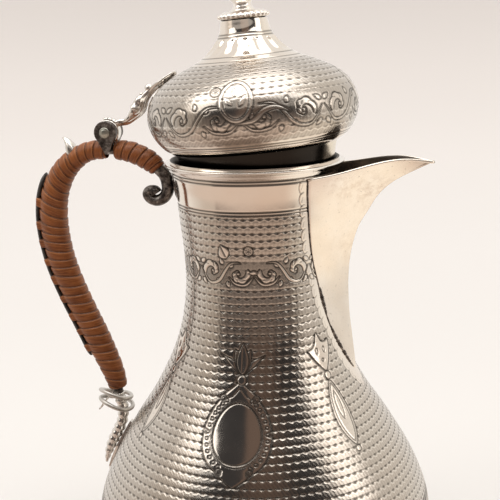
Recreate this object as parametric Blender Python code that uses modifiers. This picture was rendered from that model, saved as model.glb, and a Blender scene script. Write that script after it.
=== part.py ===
"""Silver dallah coffee pot: a pear-shaped hammered vessel with a beak spout, a hinged domed
lid with a finial, and an arched handle lapped in split cane. Lengths below are millimetres;
meshes are built in metres. +X points along the spout, -X along the handle, +Z up, the body's
axis is x = y = 0 and the underside of the base is z = 0."""

import math

import bmesh
import bpy
from mathutils import Matrix, Vector

MM = 0.001
RIM = 185.0  # height of the rim's plane above the base
STEPS = 40  # facets round the body
GAP = 0.3  # daylight between pieces that touch
WALL = 0.8  # thickness of the vessel

# Outer wall of the vessel from the foot up: height above the base, radius.
BODY = [
    (6.4, 55.6), (12.0, 62.6), (18.5, 67.9), (26.0, 71.2), (33.0, 71.9), (40.0, 70.9),
    (48.5, 68.1), (57.5, 64.0), (66.5, 58.9), (75.5, 53.3), (84.5, 47.2), (94.0, 41.8),
    (103.5, 37.2), (113.0, 33.7), (122.0, 31.6), (131.0, 30.4), (140.0, 30.1), (149.5, 30.6),
    (159.0, 31.5), (166.5, 32.2), (173.0, 32.9), (177.8, 33.75), (181.0, 34.3), (185.6, 34.7),
]

# The spout, from its foot up to its lip: height of the seam, half-angle of the seam from the
# spout's axis in degrees, then the keel's distance from the body's axis and its height.
SPOUT = [
    (91.5, 3.0, 40.8, 92.0), (96.0, 3.3, 41.4, 96.6), (99.5, 4.2, 40.9, 100.4), (102.5, 5.2, 40.4, 104.0),
    (106.0, 7.4, 39.9, 108.5), (110.5, 10.6, 39.3, 114.0), (116.5, 14.3, 38.6, 120.5),
    (122.0, 17.4, 38.3, 127.0), (129.5, 21.1, 38.2, 134.5), (137.5, 25.5, 38.8, 142.5),
    (145.0, 30.8, 40.2, 150.0), (152.0, 34.3, 42.7, 157.5), (158.5, 36.6, 46.5, 163.8),
    (164.5, 38.1, 50.8, 170.5), (170.0, 39.4, 56.5, 175.6), (175.0, 40.6, 63.6, 179.5),
    (179.8, 41.5, 72.4, 183.6),
]
SPOUT_WALL = 0.8

# The lid, closed: height above its lower edge, radius.
LID = [
    (0.0, 34.8), (1.7, 37.2), (4.4, 39.6), (7.7, 41.5), (11.0, 42.5), (14.0, 42.8),
    (17.5, 42.4), (21.0, 41.1), (24.4, 38.7), (27.3, 35.5), (29.6, 31.9), (31.9, 27.2),
    (34.4, 21.6), (37.6, 16.4), (41.4, 12.6), (46.0, 10.2), (50.0, 9.4),
]
LID_EDGE = RIM + 1.2  # height of the closed lid's lower edge
LID_TOP = LID_EDGE + LID[-1][0]
LID_SHIFT = 0.4  # the lid's axis sits this far towards the spout
STUD_HOLE = 1.9  # radius of the hole for the finial's stud
HINGE = (-62.4, RIM + 11.4)  # x and z of the hinge axis, which runs along Y
AJAR = 4.3  # degrees that the lid stands open at rest
PIN_R = 1.6
KNUCKLE_BORE = 1.72
KNUCKLE_R = 5.1
EAR_R = 4.8

# The handle's centre line: distance from the axis, height from the rim, half-thickness.
GRIP = [
    (45.2, -0.9, 4.4), (49.0, 1.2, 4.4), (53.5, 2.9, 4.4), (59.0, 3.7, 4.1), (64.0, 3.8, 4.0),
    (69.0, 3.6, 4.0), (74.0, 2.2, 4.2), (79.0, -0.9, 4.7), (83.2, -5.0, 5.2), (86.4, -10.2, 5.6),
    (88.6, -16.0, 5.9), (89.6, -22.5, 6.0), (89.7, -29.5, 6.0), (88.9, -37.0, 5.9),
    (87.2, -45.0, 5.8), (84.6, -53.0, 5.7), (81.2, -61.5, 5.6), (77.4, -70.0, 5.5),
    (73.6, -78.5, 5.5), (70.3, -86.5, 5.3), (67.5, -93.5, 4.9), (65.8, -99.0, 4.4),
    (65.2, -102.6, 3.9),
]
CORE_R = 2.4
# The volute that ends the core under the arch, from its eye outwards, in the same terms.
VOLUTE = [
    (42.0, -13.6, 1.3), (42.9, -11.7, 1.2), (45.0, -11.3, 1.4), (46.4, -13.4, 1.6),
    (45.6, -16.2, 1.8), (42.6, -17.8, 1.9), (39.3, -16.7, 2.1), (37.3, -13.6, 2.3),
    (37.3, -10.0, 2.4), (38.6, -7.0, 2.4), (40.2, -5.2, 2.4),
]
# The cast arm of the lid, closed, in the same terms.
ARM = [
    (60.2, 13.8, 1.1), (57.3, 15.0, 1.5), (53.9, 15.3, 1.5), (51.2, 17.0, 1.7), (48.2, 20.0, 2.0),
    (46.1, 23.2, 2.0), (43.5, 25.5, 1.6), (40.1, 28.1, 1.5), (36.4, 30.0, 1.4), (33.3, 31.9, 1.1),
    (30.2, 33.5, 0.7),
]
SPUR = [
    (79.2, 2.7, 1.3), (79.5, 4.0, 1.8), (79.9, 5.6, 1.8), (80.6, 7.0, 1.5), (81.6, 8.1, 0.9),
    (82.6, 8.6, 0.35),
]
BRACKET = [
    (65.0, -105.2, 2.2), (64.2, -108.5, 2.4), (63.5, -112.5, 2.3), (63.9, -117.0, 2.3),
    (65.8, -122.0, 2.4), (68.6, -127.2, 2.4), (70.8, -132.0, 2.0), (72.2, -136.2, 1.2),
    (72.9, -138.8, 0.6),
]
LEAF = [
    (68.4, -106.8, 0.7), (70.0, -108.1, 0.9), (71.7, -109.8, 0.9), (73.2, -111.5, 0.7),
    (74.3, -113.0, 0.3),
]


def clear_scene():
    for obj in list(bpy.data.objects):
        bpy.data.objects.remove(obj, do_unlink=True)


def collection(name, hidden=False):
    made = bpy.data.collections.new(name)
    made.hide_render = hidden
    bpy.context.scene.collection.children.link(made)
    return made


def material(name, color, metallic, roughness):
    mat = bpy.data.materials.new(name)
    mat.use_nodes = True
    shader = mat.node_tree.nodes["Principled BSDF"]
    shader.inputs["Base Color"].default_value = (*color, 1.0)
    shader.inputs["Metallic"].default_value = metallic
    shader.inputs["Roughness"].default_value = roughness
    mat.diffuse_color = (*color, 1.0)
    return mat


def place(name, data, mat, home):
    obj = bpy.data.objects.new(name, data)
    if mat:
        data.materials.append(mat)
    home.objects.link(obj)
    return obj


def turned(name, profile, mat, home, steps=STEPS):
    """A solid of revolution: a Screw round Z of a profile of (height, radius) that runs down
    the outer side. It is a loop, or a line whose two ends are on the axis."""
    open_line = profile[0][1] == 0 and profile[-1][1] == 0
    count = len(profile)
    edges = [(k, (k + 1) % count) for k in range(count - open_line)]
    mesh = bpy.data.meshes.new(name)
    mesh.from_pydata([(r * MM, 0.0, z * MM) for z, r in profile], edges, [])
    obj = place(name, mesh, mat, home)
    screw = obj.modifiers.new("turn", "SCREW")
    screw.axis = "Z"
    screw.angle = math.tau
    screw.steps = screw.render_steps = steps
    screw.use_merge_vertices = True
    screw.merge_threshold = 1e-5
    screw.use_smooth_shade = True
    return obj


def tube(name, rows, mat, home, closed=False, sides=2):
    """A round bar along rows of (x, y, z, radius): a bevelled curve with filled caps."""
    curve = bpy.data.curves.new(name, "CURVE")
    curve.dimensions = "3D"
    curve.bevel_depth = MM
    curve.bevel_resolution = sides
    curve.use_fill_caps = not closed
    line = curve.splines.new("POLY")
    line.points.add(len(rows) - 1)
    line.use_cyclic_u = closed
    line.use_smooth = True
    for point, (x, y, z, radius) in zip(line.points, rows):
        point.co = (x * MM, y * MM, z * MM, 1.0)
        point.radius = radius
    return place(name, curve, mat, home)


def handle_side(rows):
    """Rows of (distance, height from the rim, radius) as points in the handle's plane."""
    return [(-distance, 0.0, RIM + height, radius) for distance, height, radius in rows]


def as_mesh(obj, home):
    """The same piece as a welded mesh, which a Boolean can take."""
    bpy.context.view_layer.update()
    graph = bpy.context.evaluated_depsgraph_get()
    mesh = bpy.data.meshes.new_from_object(obj.evaluated_get(graph))
    name, where = obj.name, obj.matrix_world.copy()
    bpy.data.objects.remove(obj, do_unlink=True)
    work = bmesh.new()
    work.from_mesh(mesh)
    bmesh.ops.remove_doubles(work, verts=work.verts, dist=1e-6)
    bmesh.ops.recalc_face_normals(work, faces=work.faces)
    work.to_mesh(mesh)
    work.free()
    made = bpy.data.objects.new(name, mesh)
    made.matrix_world = where
    home.objects.link(made)
    return made


def cylinder(name, radius, depth, centre, along, mat, home, sides=32):
    """A cylinder primitive turned so that its axis points along a direction."""
    mesh = bpy.data.meshes.new(name)
    work = bmesh.new()
    bmesh.ops.create_cone(
        work, cap_ends=True, segments=sides, radius1=radius * MM, radius2=radius * MM,
        depth=depth * MM,
    )
    turn = Vector((0, 0, 1)).rotation_difference(Vector(along)).to_matrix().to_4x4()
    bmesh.ops.transform(work, verts=work.verts, matrix=Matrix.Translation(Vector(centre) * MM) @ turn)
    work.to_mesh(mesh)
    work.free()
    for face in mesh.polygons:
        face.use_smooth = len(face.vertices) == 4
    return place(name, mesh, mat, home)


def cut(obj, tool, operation="DIFFERENCE"):
    step = obj.modifiers.new(tool.name, "BOOLEAN")
    step.operation = operation
    step.solver = "EXACT"
    step.object = tool


def skin(name, grid, thickness, side, mat, home):
    """A shell: an open surface through rows of points, with Solidify. The thickness goes to
    the side that the surface's faces point to, or to the other side when side is -1."""
    count = len(grid[0])
    faces = []
    for k in range(len(grid) - 1):
        for i in range(count - 1):
            a = k * count + i
            faces.append((a, a + 1, a + 1 + count, a + count))
    mesh = bpy.data.meshes.new(name)
    mesh.from_pydata([tuple(Vector(p) * MM) for row in grid for p in row], [], faces)
    mesh.shade_smooth()
    obj = place(name, mesh, mat, home)
    solid = obj.modifiers.new("thickness", "SOLIDIFY")
    solid.thickness = thickness * MM
    solid.offset = side
    return obj


def inward(profile, wall):
    """The same profile moved towards the inside by the wall's thickness."""
    moved = []
    for i, (height, radius) in enumerate(profile):
        low, high = profile[max(i - 1, 0)], profile[min(i + 1, len(profile) - 1)]
        dz, dr = high[0] - low[0], high[1] - low[1]
        size = math.hypot(dz, dr)
        moved.append((height + wall * dr / size, radius - wall * dz / size))
    moved[0] = (profile[0][0], moved[0][1])
    moved[-1] = (profile[-1][0], moved[-1][1])
    return moved


def radius_at(profile, height):
    for (z0, r0), (z1, r1) in zip(profile, profile[1:]):
        if height <= z1:
            return r0 + (r1 - r0) * (height - z0) / (z1 - z0)
    return profile[-1][1]


def make_vessel(mats, home, tools):
    inner = inward(BODY, WALL)
    last = len(inner) - 1
    inner = [p for k, p in enumerate(inner) if 98 < p[0] < 162 or k % 2 == 0 or k == last]
    body = turned("body_shell", BODY[::-1] + inner, mats["engraved"], home)
    drills = []
    for height, count in ((121, 2), (130, 3), (139, 4), (148, 5)):
        for k in range(count):
            turn = (k - (count - 1) / 2) * math.radians(9.5)
            out = Vector((math.cos(turn), math.sin(turn), 0))
            centre = out * radius_at(BODY, height) + Vector((0, 0, height))
            drills.append(cylinder("drill", 1.3, 8, centre, out, None, tools, 8))
    cut(body, joined("strainer_drills", drills, tools))
    turned("rim_collar", [
        (RIM + 0.9, 35.05), (RIM + 0.9, 35.7), (RIM + 0.35, 36.4), (RIM - 0.5, 36.7),
        (RIM - 1.6, 36.35), (RIM - 3.0, 35.6), (RIM - 3.9, 35.3), (RIM - 3.9, 35.05),
    ], mats["silver"], home)
    cylinder("base_plate", 52.3, 1.2, (0, 0, 0.6), (0, 0, 1), mats["silver"], home, STEPS)
    turned("foot_ring", [
        (6.0, 52.7), (6.0, 56.2), (4.2, 56.8), (3.0, 58.2), (1.6, 59.0), (0.0, 58.4), (0.0, 52.7),
    ], mats["silver"], home)


def joined(name, parts, home):
    """One mesh object from several that don't touch."""
    work = bmesh.new()
    for part in parts:
        work.from_mesh(part.data)
    mesh = bpy.data.meshes.new(name)
    work.to_mesh(mesh)
    work.free()
    for part in parts:
        bpy.data.objects.remove(part, do_unlink=True)
    return place(name, mesh, None, home)


def spout_row(k, row):
    """One level of the beak, from the -Y seam round the keel to the +Y seam. The ends run on
    a little way into the vessel, where they are cut off."""
    z_seam, angle, x_keel, z_keel = row
    height = k / (len(SPOUT) - 1)
    radius = radius_at(BODY, z_seam) + GAP
    x_seam = radius * math.cos(math.radians(angle))
    y_seam = radius * math.sin(math.radians(angle))
    crest = 2.6 * height ** 6
    half = []
    for share in (-0.13, 0.08, 0.24, 0.42, 0.6, 0.77, 0.91, 1.0):
        s = max(share, 0.0)
        x = x_seam + (x_keel - x_seam) * share
        y = y_seam * ((1 - s) ** (0.9 + 0.22 * height) - min(share, 0.0))
        z = z_seam + (z_keel - z_seam) * share + crest * math.sin(math.pi * s ** 1.7) ** 1.2
        half.append((x, y, z))
    return [(x, -y, z) for x, y, z in half] + half[-2::-1]


def make_spout(mats, home, tools):
    grid = [spout_row(k, row) for k, row in enumerate(SPOUT)]
    spout = skin("spout_beak", grid, SPOUT_WALL, -1, mats["silver"], home)
    # The vessel's outside with the clearance added, as a solid from axis to axis.
    outline = [(z, r + GAP) for z, r in BODY[::-1] if z > 70]
    top, low = outline[0], outline[-1]
    profile = [(top[0] + 6, 0), (top[0] + 6, top[1]), *outline, (low[0], 0)]
    cut(spout, turned("vessel_clearance", profile, None, tools))


def make_lid(mats, home, tools, pivot):
    dome = [(z + LID_EDGE, r) for z, r in LID]
    inner = [(z + LID_EDGE, r) for z, r in inward(LID, 0.9)]
    inner[0] = (LID_EDGE, 33.95)
    inner = [p for k, p in enumerate(inner[:-2]) if k % 2 == 0]
    crown = [(LID_TOP - 0.9, 7.9), (LID_TOP - 0.9, STUD_HOLE), (LID_TOP, STUD_HOLE)]
    made = [turned("lid_dome", dome[::-1] + inner + crown, mats["engraved"], home)]
    made.append(turned("lid_bezel", [
        (LID_EDGE + 1.8, 32.5), (LID_EDGE + 1.8, 33.4), (LID_EDGE, 33.5), (LID_EDGE - 3.4, 32.8),
        (LID_EDGE - 7.0, 32.0), (LID_EDGE - 7.0, 31.2),
    ], mats["oxide"], home))
    made.append(turned("finial_collar", [
        (LID_TOP + 3.4, STUD_HOLE), (LID_TOP + 3.4, 7.4), (LID_TOP + 2.4, 9.7),
        (LID_TOP + 1.3, 10.3), (LID_TOP + 0.3, 9.4), (LID_TOP + 0.3, STUD_HOLE),
    ], mats["silver"], home, 24))
    made.append(turned("finial_bud", [
        (LID_TOP + 28.2, 0), (LID_TOP + 27.4, 1.3), (LID_TOP + 25.8, 2.0), (LID_TOP + 23.8, 1.8),
        (LID_TOP + 21.2, 2.7), (LID_TOP + 18.2, 5.0), (LID_TOP + 15.2, 7.3), (LID_TOP + 12.4, 7.9),
        (LID_TOP + 9.6, 6.6), (LID_TOP + 7.4, 4.0), (LID_TOP + 5.6, 3.4), (LID_TOP + 3.7, 4.6),
        (LID_TOP + 3.7, 1.6), (LID_TOP - 3.4, 1.6), (LID_TOP - 3.4, 0),
    ], mats["silver"], home, 20))
    made.append(turned("finial_washer", [
        (LID_TOP - 1.2, STUD_HOLE), (LID_TOP - 1.2, 4.6), (LID_TOP - 2.4, 4.6),
        (LID_TOP - 2.4, STUD_HOLE),
    ], mats["silver"], home, 20))
    for obj in made:
        obj.location.x = LID_SHIFT * MM
    made += make_arm(mats, home, tools)
    made.append(make_arm_pad(mats, home))
    for obj in made:
        hang(obj, pivot)


def hang(obj, pivot):
    """Hang a piece that is built closed on the hinge's empty, which carries the opening."""
    obj.parent = pivot
    obj.matrix_parent_inverse = Matrix.Translation((-HINGE[0] * MM, 0.0, -HINGE[1] * MM))


def make_arm(mats, home, tools):
    """The cast arm, broader than it is deep, joined to its hinge knuckle."""
    bar = tube("lid_arm", handle_side(ARM), mats["silver"], home, sides=3)
    bar.scale.y = 2.0
    arm = as_mesh(bar, home)
    arm.data.transform(arm.matrix_world)
    arm.matrix_world = Matrix.Identity(4)
    centre = (HINGE[0], 0, HINGE[1])
    knuckle = cylinder("knuckle_disc", KNUCKLE_R, 4.4, centre, (0, 1, 0), None, tools)
    bore = cylinder("knuckle_bore", KNUCKLE_BORE, 9, centre, (0, 1, 0), None, tools)
    cut(arm, knuckle, "UNION")
    cut(arm, bore)
    return [arm, knuckle, bore]


def make_arm_pad(mats, home):
    """Leaf-shaped strap lying on the dome under the arm."""
    grid = []
    for height, wide in ((10.5, 0.8), (13, 3.0), (16.5, 4.7), (20, 5.2), (23, 4.2), (25.4, 1.2)):
        radius = radius_at(LID, height) + 0.4
        grid.append([
            (LID_SHIFT - radius * math.cos(side * wide / radius),
             -radius * math.sin(side * wide / radius), LID_EDGE + height)
            for side in (-1, -0.5, 0, 0.5, 1)
        ])
    return skin("lid_arm_pad", grid, 0.6, 1, mats["silver"], home)


def make_hinge(mats, home):
    for name, y in (("hinge_ear_near", -3.75), ("hinge_ear_far", 3.75)):
        ear(name, y, mats["oxide"], home)
    half = [(5.9, 0), (5.6, 1.9), (5.25, 2.2), (5.25, PIN_R)]
    profile = half + [(-z, r) for z, r in half[::-1]]
    pin = turned("hinge_pin", profile, mats["silver"], home, 24)
    pin.rotation_euler.x = math.radians(90)
    pin.location = (HINGE[0] * MM, 0, HINGE[1] * MM)


def ear(name, y, mat, home):
    """One cheek of the hinge: a flat disc whose tail wedges down beside the core."""
    curve = bpy.data.curves.new(name, "CURVE")
    curve.dimensions = "2D"
    curve.fill_mode = "BOTH"
    curve.extrude = 1.25 * MM
    disc = [math.radians(a) for a in range(-35, 216, 10)]
    outline = [(EAR_R * math.cos(a), EAR_R * math.sin(a)) for a in disc]
    outline += [(-2.9, -4.4), (-1.1, -8.2), (0.4, -9.2), (1.8, -8.2), (3.1, -4.4)]
    bore = [math.tau * i / 24 for i in range(24)]
    for line in (outline, [(1.78 * math.cos(a), 1.78 * math.sin(a)) for a in bore]):
        spline = curve.splines.new("POLY")
        spline.points.add(len(line) - 1)
        spline.use_cyclic_u = True
        for point, (x, z) in zip(spline.points, line):
            point.co = (x * MM, z * MM, 0.0, 1.0)
    obj = place(name, curve, mat, home)
    obj.rotation_euler.x = math.radians(90)
    obj.location = (HINGE[0] * MM, y * MM, HINGE[1] * MM)


def along_grip(first, last):
    """The part of the handle's centre line between two distances from its start."""
    lengths = [0.0]
    for a, b in zip(GRIP, GRIP[1:]):
        lengths.append(lengths[-1] + math.dist(a[:2], b[:2]))
    last = min(last, lengths[-1])
    made = []
    for s in [first] + [s for s in lengths if first + 0.8 < s < last - 0.8] + [last]:
        i = max(k for k in range(len(GRIP) - 1) if lengths[k] <= s + 1e-9)
        t = (s - lengths[i]) / (lengths[i + 1] - lengths[i])
        made.append(tuple(a + (b - a) * t for a, b in zip(GRIP[i], GRIP[i + 1])))
    return made


def wrap(name, first, last, clearance, mat, home):
    """Cane lapping round the core between two distances along the handle."""
    rows = handle_side(along_grip(first, last))
    obj = as_mesh(tube(name, rows, mat, home, sides=4), home)
    cut(obj, clearance)


def make_handle(mats, home, tools):
    rows = [*VOLUTE]
    for distance, height, _ in GRIP:
        # The core is filed down under the hinge's knuckle.
        filed = abs(distance + HINGE[0]) < 4
        rows.append((distance, height - 0.2 * filed, CORE_R - 0.5 * filed))
    rows.append((65.2, -104.6, CORE_R))
    tube("handle_core", handle_side(rows), mats["oxide"], home)
    hole = [(d, h, CORE_R + GAP + 0.1) for d, h, _ in rows[len(VOLUTE) - 1:]]
    hole[0] = (38.6, -7.0, CORE_R + GAP + 0.1)
    hole.append((65.2, -110.0, CORE_R + GAP + 0.1))
    clearance = as_mesh(tube("core_clearance", handle_side(hole), None, tools), tools)
    wrap("cane_wrap_neck", 0.3, 12.2, clearance, mats["cane"], home)
    wrap("cane_wrap_arch", 22.0, 31.3, clearance, mats["cane"], home)
    wrap("cane_wrap_grip", 38.2, 999, clearance, mats["cane"], home)
    spur = tube("thumb_spur", handle_side(SPUR), mats["silver"], home, sides=3)
    spur.scale.y = 1.4
    make_slip(mats, home)


def make_slip(mats, home):
    """Stiff black slip laid along the outside of the grip."""
    rows = [(-d, RIM + h, r) for d, h, r in along_grip(47.0, 127.0)]
    last = len(rows) - 1
    grid = []
    for k, (x, z, radius) in enumerate(rows):
        before, after = rows[max(k - 1, 0)], rows[min(k + 1, last)]
        along = Vector((after[0] - before[0], 0, after[1] - before[1])).normalized()
        out = along.cross(Vector((0, -1, 0)))
        half = 3.0 if 0 < k < last else 2.2
        grid.append([
            Vector((x, side * half, z)) + out * (math.sqrt(radius ** 2 - (side * half) ** 2) + 0.4)
            for side in (-1, -0.5, 0, 0.5, 1)
        ])
    skin("black_slip", grid, 1.5, 1, mats["black"], home)


def make_fixings(mats, home):
    bracket = tube("handle_bracket", handle_side(BRACKET), mats["silver"], home, sides=3)
    bracket.scale.y = 1.2
    leaf = tube("bracket_leaf", handle_side(LEAF), mats["silver"], home, sides=3)
    leaf.scale.y = 3.2
    body_pad("handle_pad_lower", [
        (43.0, 1.6), (46.5, 5.6), (51.5, 7.6), (57.0, 7.4), (62.0, 5.4), (66.5, 1.4),
    ], 1.0, mats["silver"], home)
    body_pad("handle_pad_upper", [
        (168.5, 1.2), (170.5, 3.2), (173.5, 3.6), (176.5, 3.2), (178.6, 1.2),
    ], 0.8, mats["oxide"], home)
    wire("binding_wire_upper", -66.4, RIM - 105.6, 7.0, 6.6, 12, 14, mats["wire"], home)
    wire("binding_wire_lower", -66.4, RIM - 109.8, 7.4, 6.9, 16, 4, mats["wire"], home)


def body_pad(name, rows, thickness, mat, home):
    """A pad curved to lie on the vessel on the handle's side."""
    grid = []
    for height, wide in rows:
        radius = radius_at(BODY, height) + GAP + 0.1
        grid.append([
            (-radius * math.cos(side * wide / radius), -radius * math.sin(side * wide / radius), height)
            for side in (-1, -0.5, 0, 0.5, 1)
        ])
    skin(name, grid, thickness, 1, mat, home)


def wire(name, x, z, long, wide, roll, lift, mat, home):
    """A loop of round wire bound about the bracket, rolled down towards the vessel and lifted
    on the -Y side, in degrees."""
    turn = Matrix.Rotation(math.radians(roll), 3, "Y") @ Matrix.Rotation(math.radians(-lift), 3, "X")
    rows = []
    for i in range(20):
        a = math.tau * i / 20
        point = turn @ Vector((math.cos(a) * long, math.sin(a) * wide, 0))
        rows.append((x + point.x, point.y, z + point.z, 0.9))
    tube(name, rows, mat, home, closed=True, sides=1)


def main():
    clear_scene()
    home = collection("dallah_coffee_pot")
    tools = collection("cutters", hidden=True)
    mats = {
        "engraved": material("engraved_silver", (0.80, 0.77, 0.73), 1.0, 0.28),
        "silver": material("polished_silver", (0.84, 0.82, 0.78), 1.0, 0.16),
        "oxide": material("oxidised_silver", (0.16, 0.14, 0.125), 0.9, 0.38),
        "cane": material("cane_lapping", (0.32, 0.13, 0.055), 0.0, 0.45),
        "black": material("black_slip", (0.02, 0.017, 0.015), 0.0, 0.4),
        "wire": material("binding_wire", (0.52, 0.49, 0.47), 0.6, 0.45),
    }
    pivot = bpy.data.objects.new("lid_hinge_axis", None)
    pivot.empty_display_size = 0.02
    home.objects.link(pivot)
    pivot.location = (HINGE[0] * MM, 0.0, HINGE[1] * MM)
    pivot.rotation_euler = (0.0, -math.radians(AJAR), 0.0)
    make_vessel(mats, home, tools)
    make_spout(mats, home, tools)
    make_lid(mats, home, tools, pivot)
    make_hinge(mats, home)
    make_handle(mats, home, tools)
    make_fixings(mats, home)
    for tool in tools.objects:
        tool.hide_render = True
        tool.display_type = "WIRE"


main()
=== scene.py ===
"""Looks of the silver dallah coffee pot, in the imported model's frame. Lengths in the tables
are millimetres; meshes are made in metres. +X is the spout, -X the handle, -Y the near side."""

import math

import bpy
import numpy as np
from mathutils import Matrix, Vector


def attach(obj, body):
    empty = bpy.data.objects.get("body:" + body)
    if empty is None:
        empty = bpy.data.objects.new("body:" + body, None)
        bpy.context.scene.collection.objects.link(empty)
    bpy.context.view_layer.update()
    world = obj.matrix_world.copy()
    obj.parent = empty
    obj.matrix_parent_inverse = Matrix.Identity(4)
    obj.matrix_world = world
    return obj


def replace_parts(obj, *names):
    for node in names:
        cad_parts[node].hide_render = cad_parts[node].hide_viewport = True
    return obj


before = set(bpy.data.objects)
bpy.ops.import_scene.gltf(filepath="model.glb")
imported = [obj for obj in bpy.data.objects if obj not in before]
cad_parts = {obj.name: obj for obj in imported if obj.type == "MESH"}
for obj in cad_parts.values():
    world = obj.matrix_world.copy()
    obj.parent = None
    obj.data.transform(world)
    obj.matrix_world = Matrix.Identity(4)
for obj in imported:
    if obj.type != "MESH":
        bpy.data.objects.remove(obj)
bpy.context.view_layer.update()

MM = 0.001
RIM = 185.0
HINGE = (-62.4, RIM + 11.4)
AJAR = math.radians(4.3)
LID_EDGE = RIM + 1.2
LID_SHIFT = 0.4
RNG = np.random.default_rng(7)

BODY = [
    (6.4, 55.6), (12.0, 62.6), (18.5, 67.9), (26.0, 71.2), (33.0, 71.9), (40.0, 70.9),
    (48.5, 68.1), (57.5, 64.0), (66.5, 58.9), (75.5, 53.3), (84.5, 47.2), (94.0, 41.8),
    (103.5, 37.2), (113.0, 33.7), (122.0, 31.6), (131.0, 30.4), (140.0, 30.1), (149.5, 30.6),
    (159.0, 31.5), (166.5, 32.2), (173.0, 32.9), (177.8, 33.75), (181.0, 34.3), (185.6, 34.7),
]
SPOUT = [
    (96.5, 0.6, 40.9, 96.5), (99.5, 3.4, 40.8, 100.0), (102.5, 5.2, 40.4, 104.0),
    (106.0, 7.4, 39.9, 108.5), (110.5, 10.6, 39.3, 114.0), (116.5, 14.3, 38.6, 120.5),
    (122.0, 17.4, 38.3, 127.0), (129.5, 21.1, 38.2, 134.5), (137.5, 25.5, 38.8, 142.5),
    (145.0, 30.8, 40.2, 150.0), (152.0, 34.3, 42.7, 157.5), (158.5, 36.6, 46.5, 163.8),
    (164.5, 38.1, 50.8, 170.5), (170.0, 39.4, 56.5, 175.6), (175.0, 40.6, 63.6, 179.5),
    (179.8, 41.5, 72.4, 183.6),
]
LID = [
    (0.0, 34.8), (1.7, 37.2), (4.4, 39.6), (7.7, 41.5), (11.0, 42.5), (14.0, 42.8),
    (17.5, 42.4), (21.0, 41.1), (24.4, 38.7), (27.3, 35.5), (29.6, 31.9), (31.9, 27.2),
    (34.4, 21.6), (37.6, 16.4), (41.4, 12.6), (46.0, 10.2), (50.0, 9.4),
]
GRIP = [
    (45.2, -0.9, 4.4), (49.0, 1.2, 4.4), (53.5, 2.9, 4.4), (59.0, 3.7, 4.1), (64.0, 3.8, 4.0),
    (69.0, 3.6, 4.0), (74.0, 2.2, 4.2), (79.0, -0.9, 4.7), (83.2, -5.0, 5.2), (86.4, -10.2, 5.6),
    (88.6, -16.0, 5.9), (89.6, -22.5, 6.0), (89.7, -29.5, 6.0), (88.9, -37.0, 5.9),
    (87.2, -45.0, 5.8), (84.6, -53.0, 5.7), (81.2, -61.5, 5.6), (77.4, -70.0, 5.5),
    (73.6, -78.5, 5.5), (70.3, -86.5, 5.3), (67.5, -93.5, 4.9), (65.8, -99.0, 4.4),
    (65.2, -102.6, 3.9),
]
VOLUTE = [
    (42.7, -14.9, 2.7), (43.5, -13.9, 2.6), (45.5, -13.6, 2.2), (46.7, -15.1, 2.2),
    (45.4, -17.0, 2.3), (42.6, -17.8, 2.4), (39.6, -16.6, 2.5), (37.7, -13.6, 2.6),
    (37.7, -10.0, 2.7), (38.7, -7.0, 2.7), (40.2, -5.2, 2.7),
]
ARM = [
    (60.2, 13.8, 1.1), (57.3, 15.0, 1.5), (53.9, 15.3, 1.5), (51.2, 17.0, 1.7), (48.2, 20.0, 2.0),
    (46.1, 23.2, 2.0), (43.5, 25.5, 1.6), (40.1, 28.1, 1.5), (36.4, 30.0, 1.4), (33.3, 31.9, 1.1),
    (30.2, 33.5, 0.7),
]
SPUR = [
    (79.0, 1.6, 2.5), (79.4, 3.6, 2.5), (80.0, 5.4, 2.2), (80.9, 7.1, 1.6), (82.1, 8.4, 0.9),
    (83.3, 9.0, 0.3),
]
BRACKET = [
    (65.0, -105.2, 2.2), (64.2, -108.5, 2.4), (63.5, -112.5, 2.3), (63.9, -117.0, 2.3),
    (65.8, -122.0, 2.4), (68.6, -127.2, 2.4), (70.8, -132.0, 2.0), (72.2, -136.2, 1.2),
    (72.9, -138.8, 0.6),
]
SIDE = np.array([0, -1.0, 0])
WALL = 0.85
LID_TOP = LID_EDGE + 50.0
SLIP = (46.6, 127.4)
LIT = (1.0, 0.97, 0.93)


# ---------------------------------------------------------------- curves and meshes

def run(points):
    """Arc length from the first of the points to each."""
    return np.concatenate([[0], np.cumsum(np.linalg.norm(np.diff(points, axis=0), axis=1))])


def sample(rows, length, at):
    """The rows at given lengths along them."""
    return np.stack([np.interp(at, length, column) for column in rows.T], 1)


def spline(points, count):
    """Evenly spaced points on a Catmull-Rom curve through rows of any width."""
    p = np.array(points, float)
    ext = np.vstack([2 * p[0] - p[1], p, 2 * p[-1] - p[-2]])
    t = np.linspace(0, 1, 40, endpoint=False)[:, None]
    fine = [0.5 * (2 * b + (c - a) * t + (2 * a - 5 * b + 4 * c - d) * t ** 2
                   + (3 * b - a - 3 * c + d) * t ** 3)
            for a, b, c, d in zip(ext, ext[1:], ext[2:], ext[3:])]
    fine = np.vstack(fine + [p[-1:]])
    length = run(fine[:, :2])
    return sample(fine, length, np.linspace(0, length[-1], count))


def bend(t, low, high):
    """Smooth step from 0 at low to 1 at high."""
    t = np.clip((t - low) / (high - low), 0, 1)
    return t * t * (3 - 2 * t)


def shelf(t, low, on, off, high):
    """1 between on and off, falling smoothly to 0 at low and high."""
    return bend(t, low, on) * (1 - bend(t, off, high))


def rotated(points, turn):
    """Points turned anticlockwise about the origin."""
    c, s = math.cos(turn), math.sin(turn)
    return points @ np.array([[c, s], [-s, c]])


def mirrored(half):
    """A closed outline from its right half."""
    return np.vstack([half, (half * [-1, 1])[::-1]])


def revolve(radius, angles, height):
    """Points at some radii round the upright axis."""
    parts = np.broadcast_arrays(radius * np.cos(angles), radius * np.sin(angles), height)
    return np.stack(parts, -1)


def link(name, data, mat=None, body=None):
    """The object of some data, with its material, riding on a body where one is given."""
    obj = bpy.data.objects.new(name, data)
    bpy.context.scene.collection.objects.link(obj)
    if mat:
        data.materials.append(mat)
    if body:
        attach(obj, body)
    return obj


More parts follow.
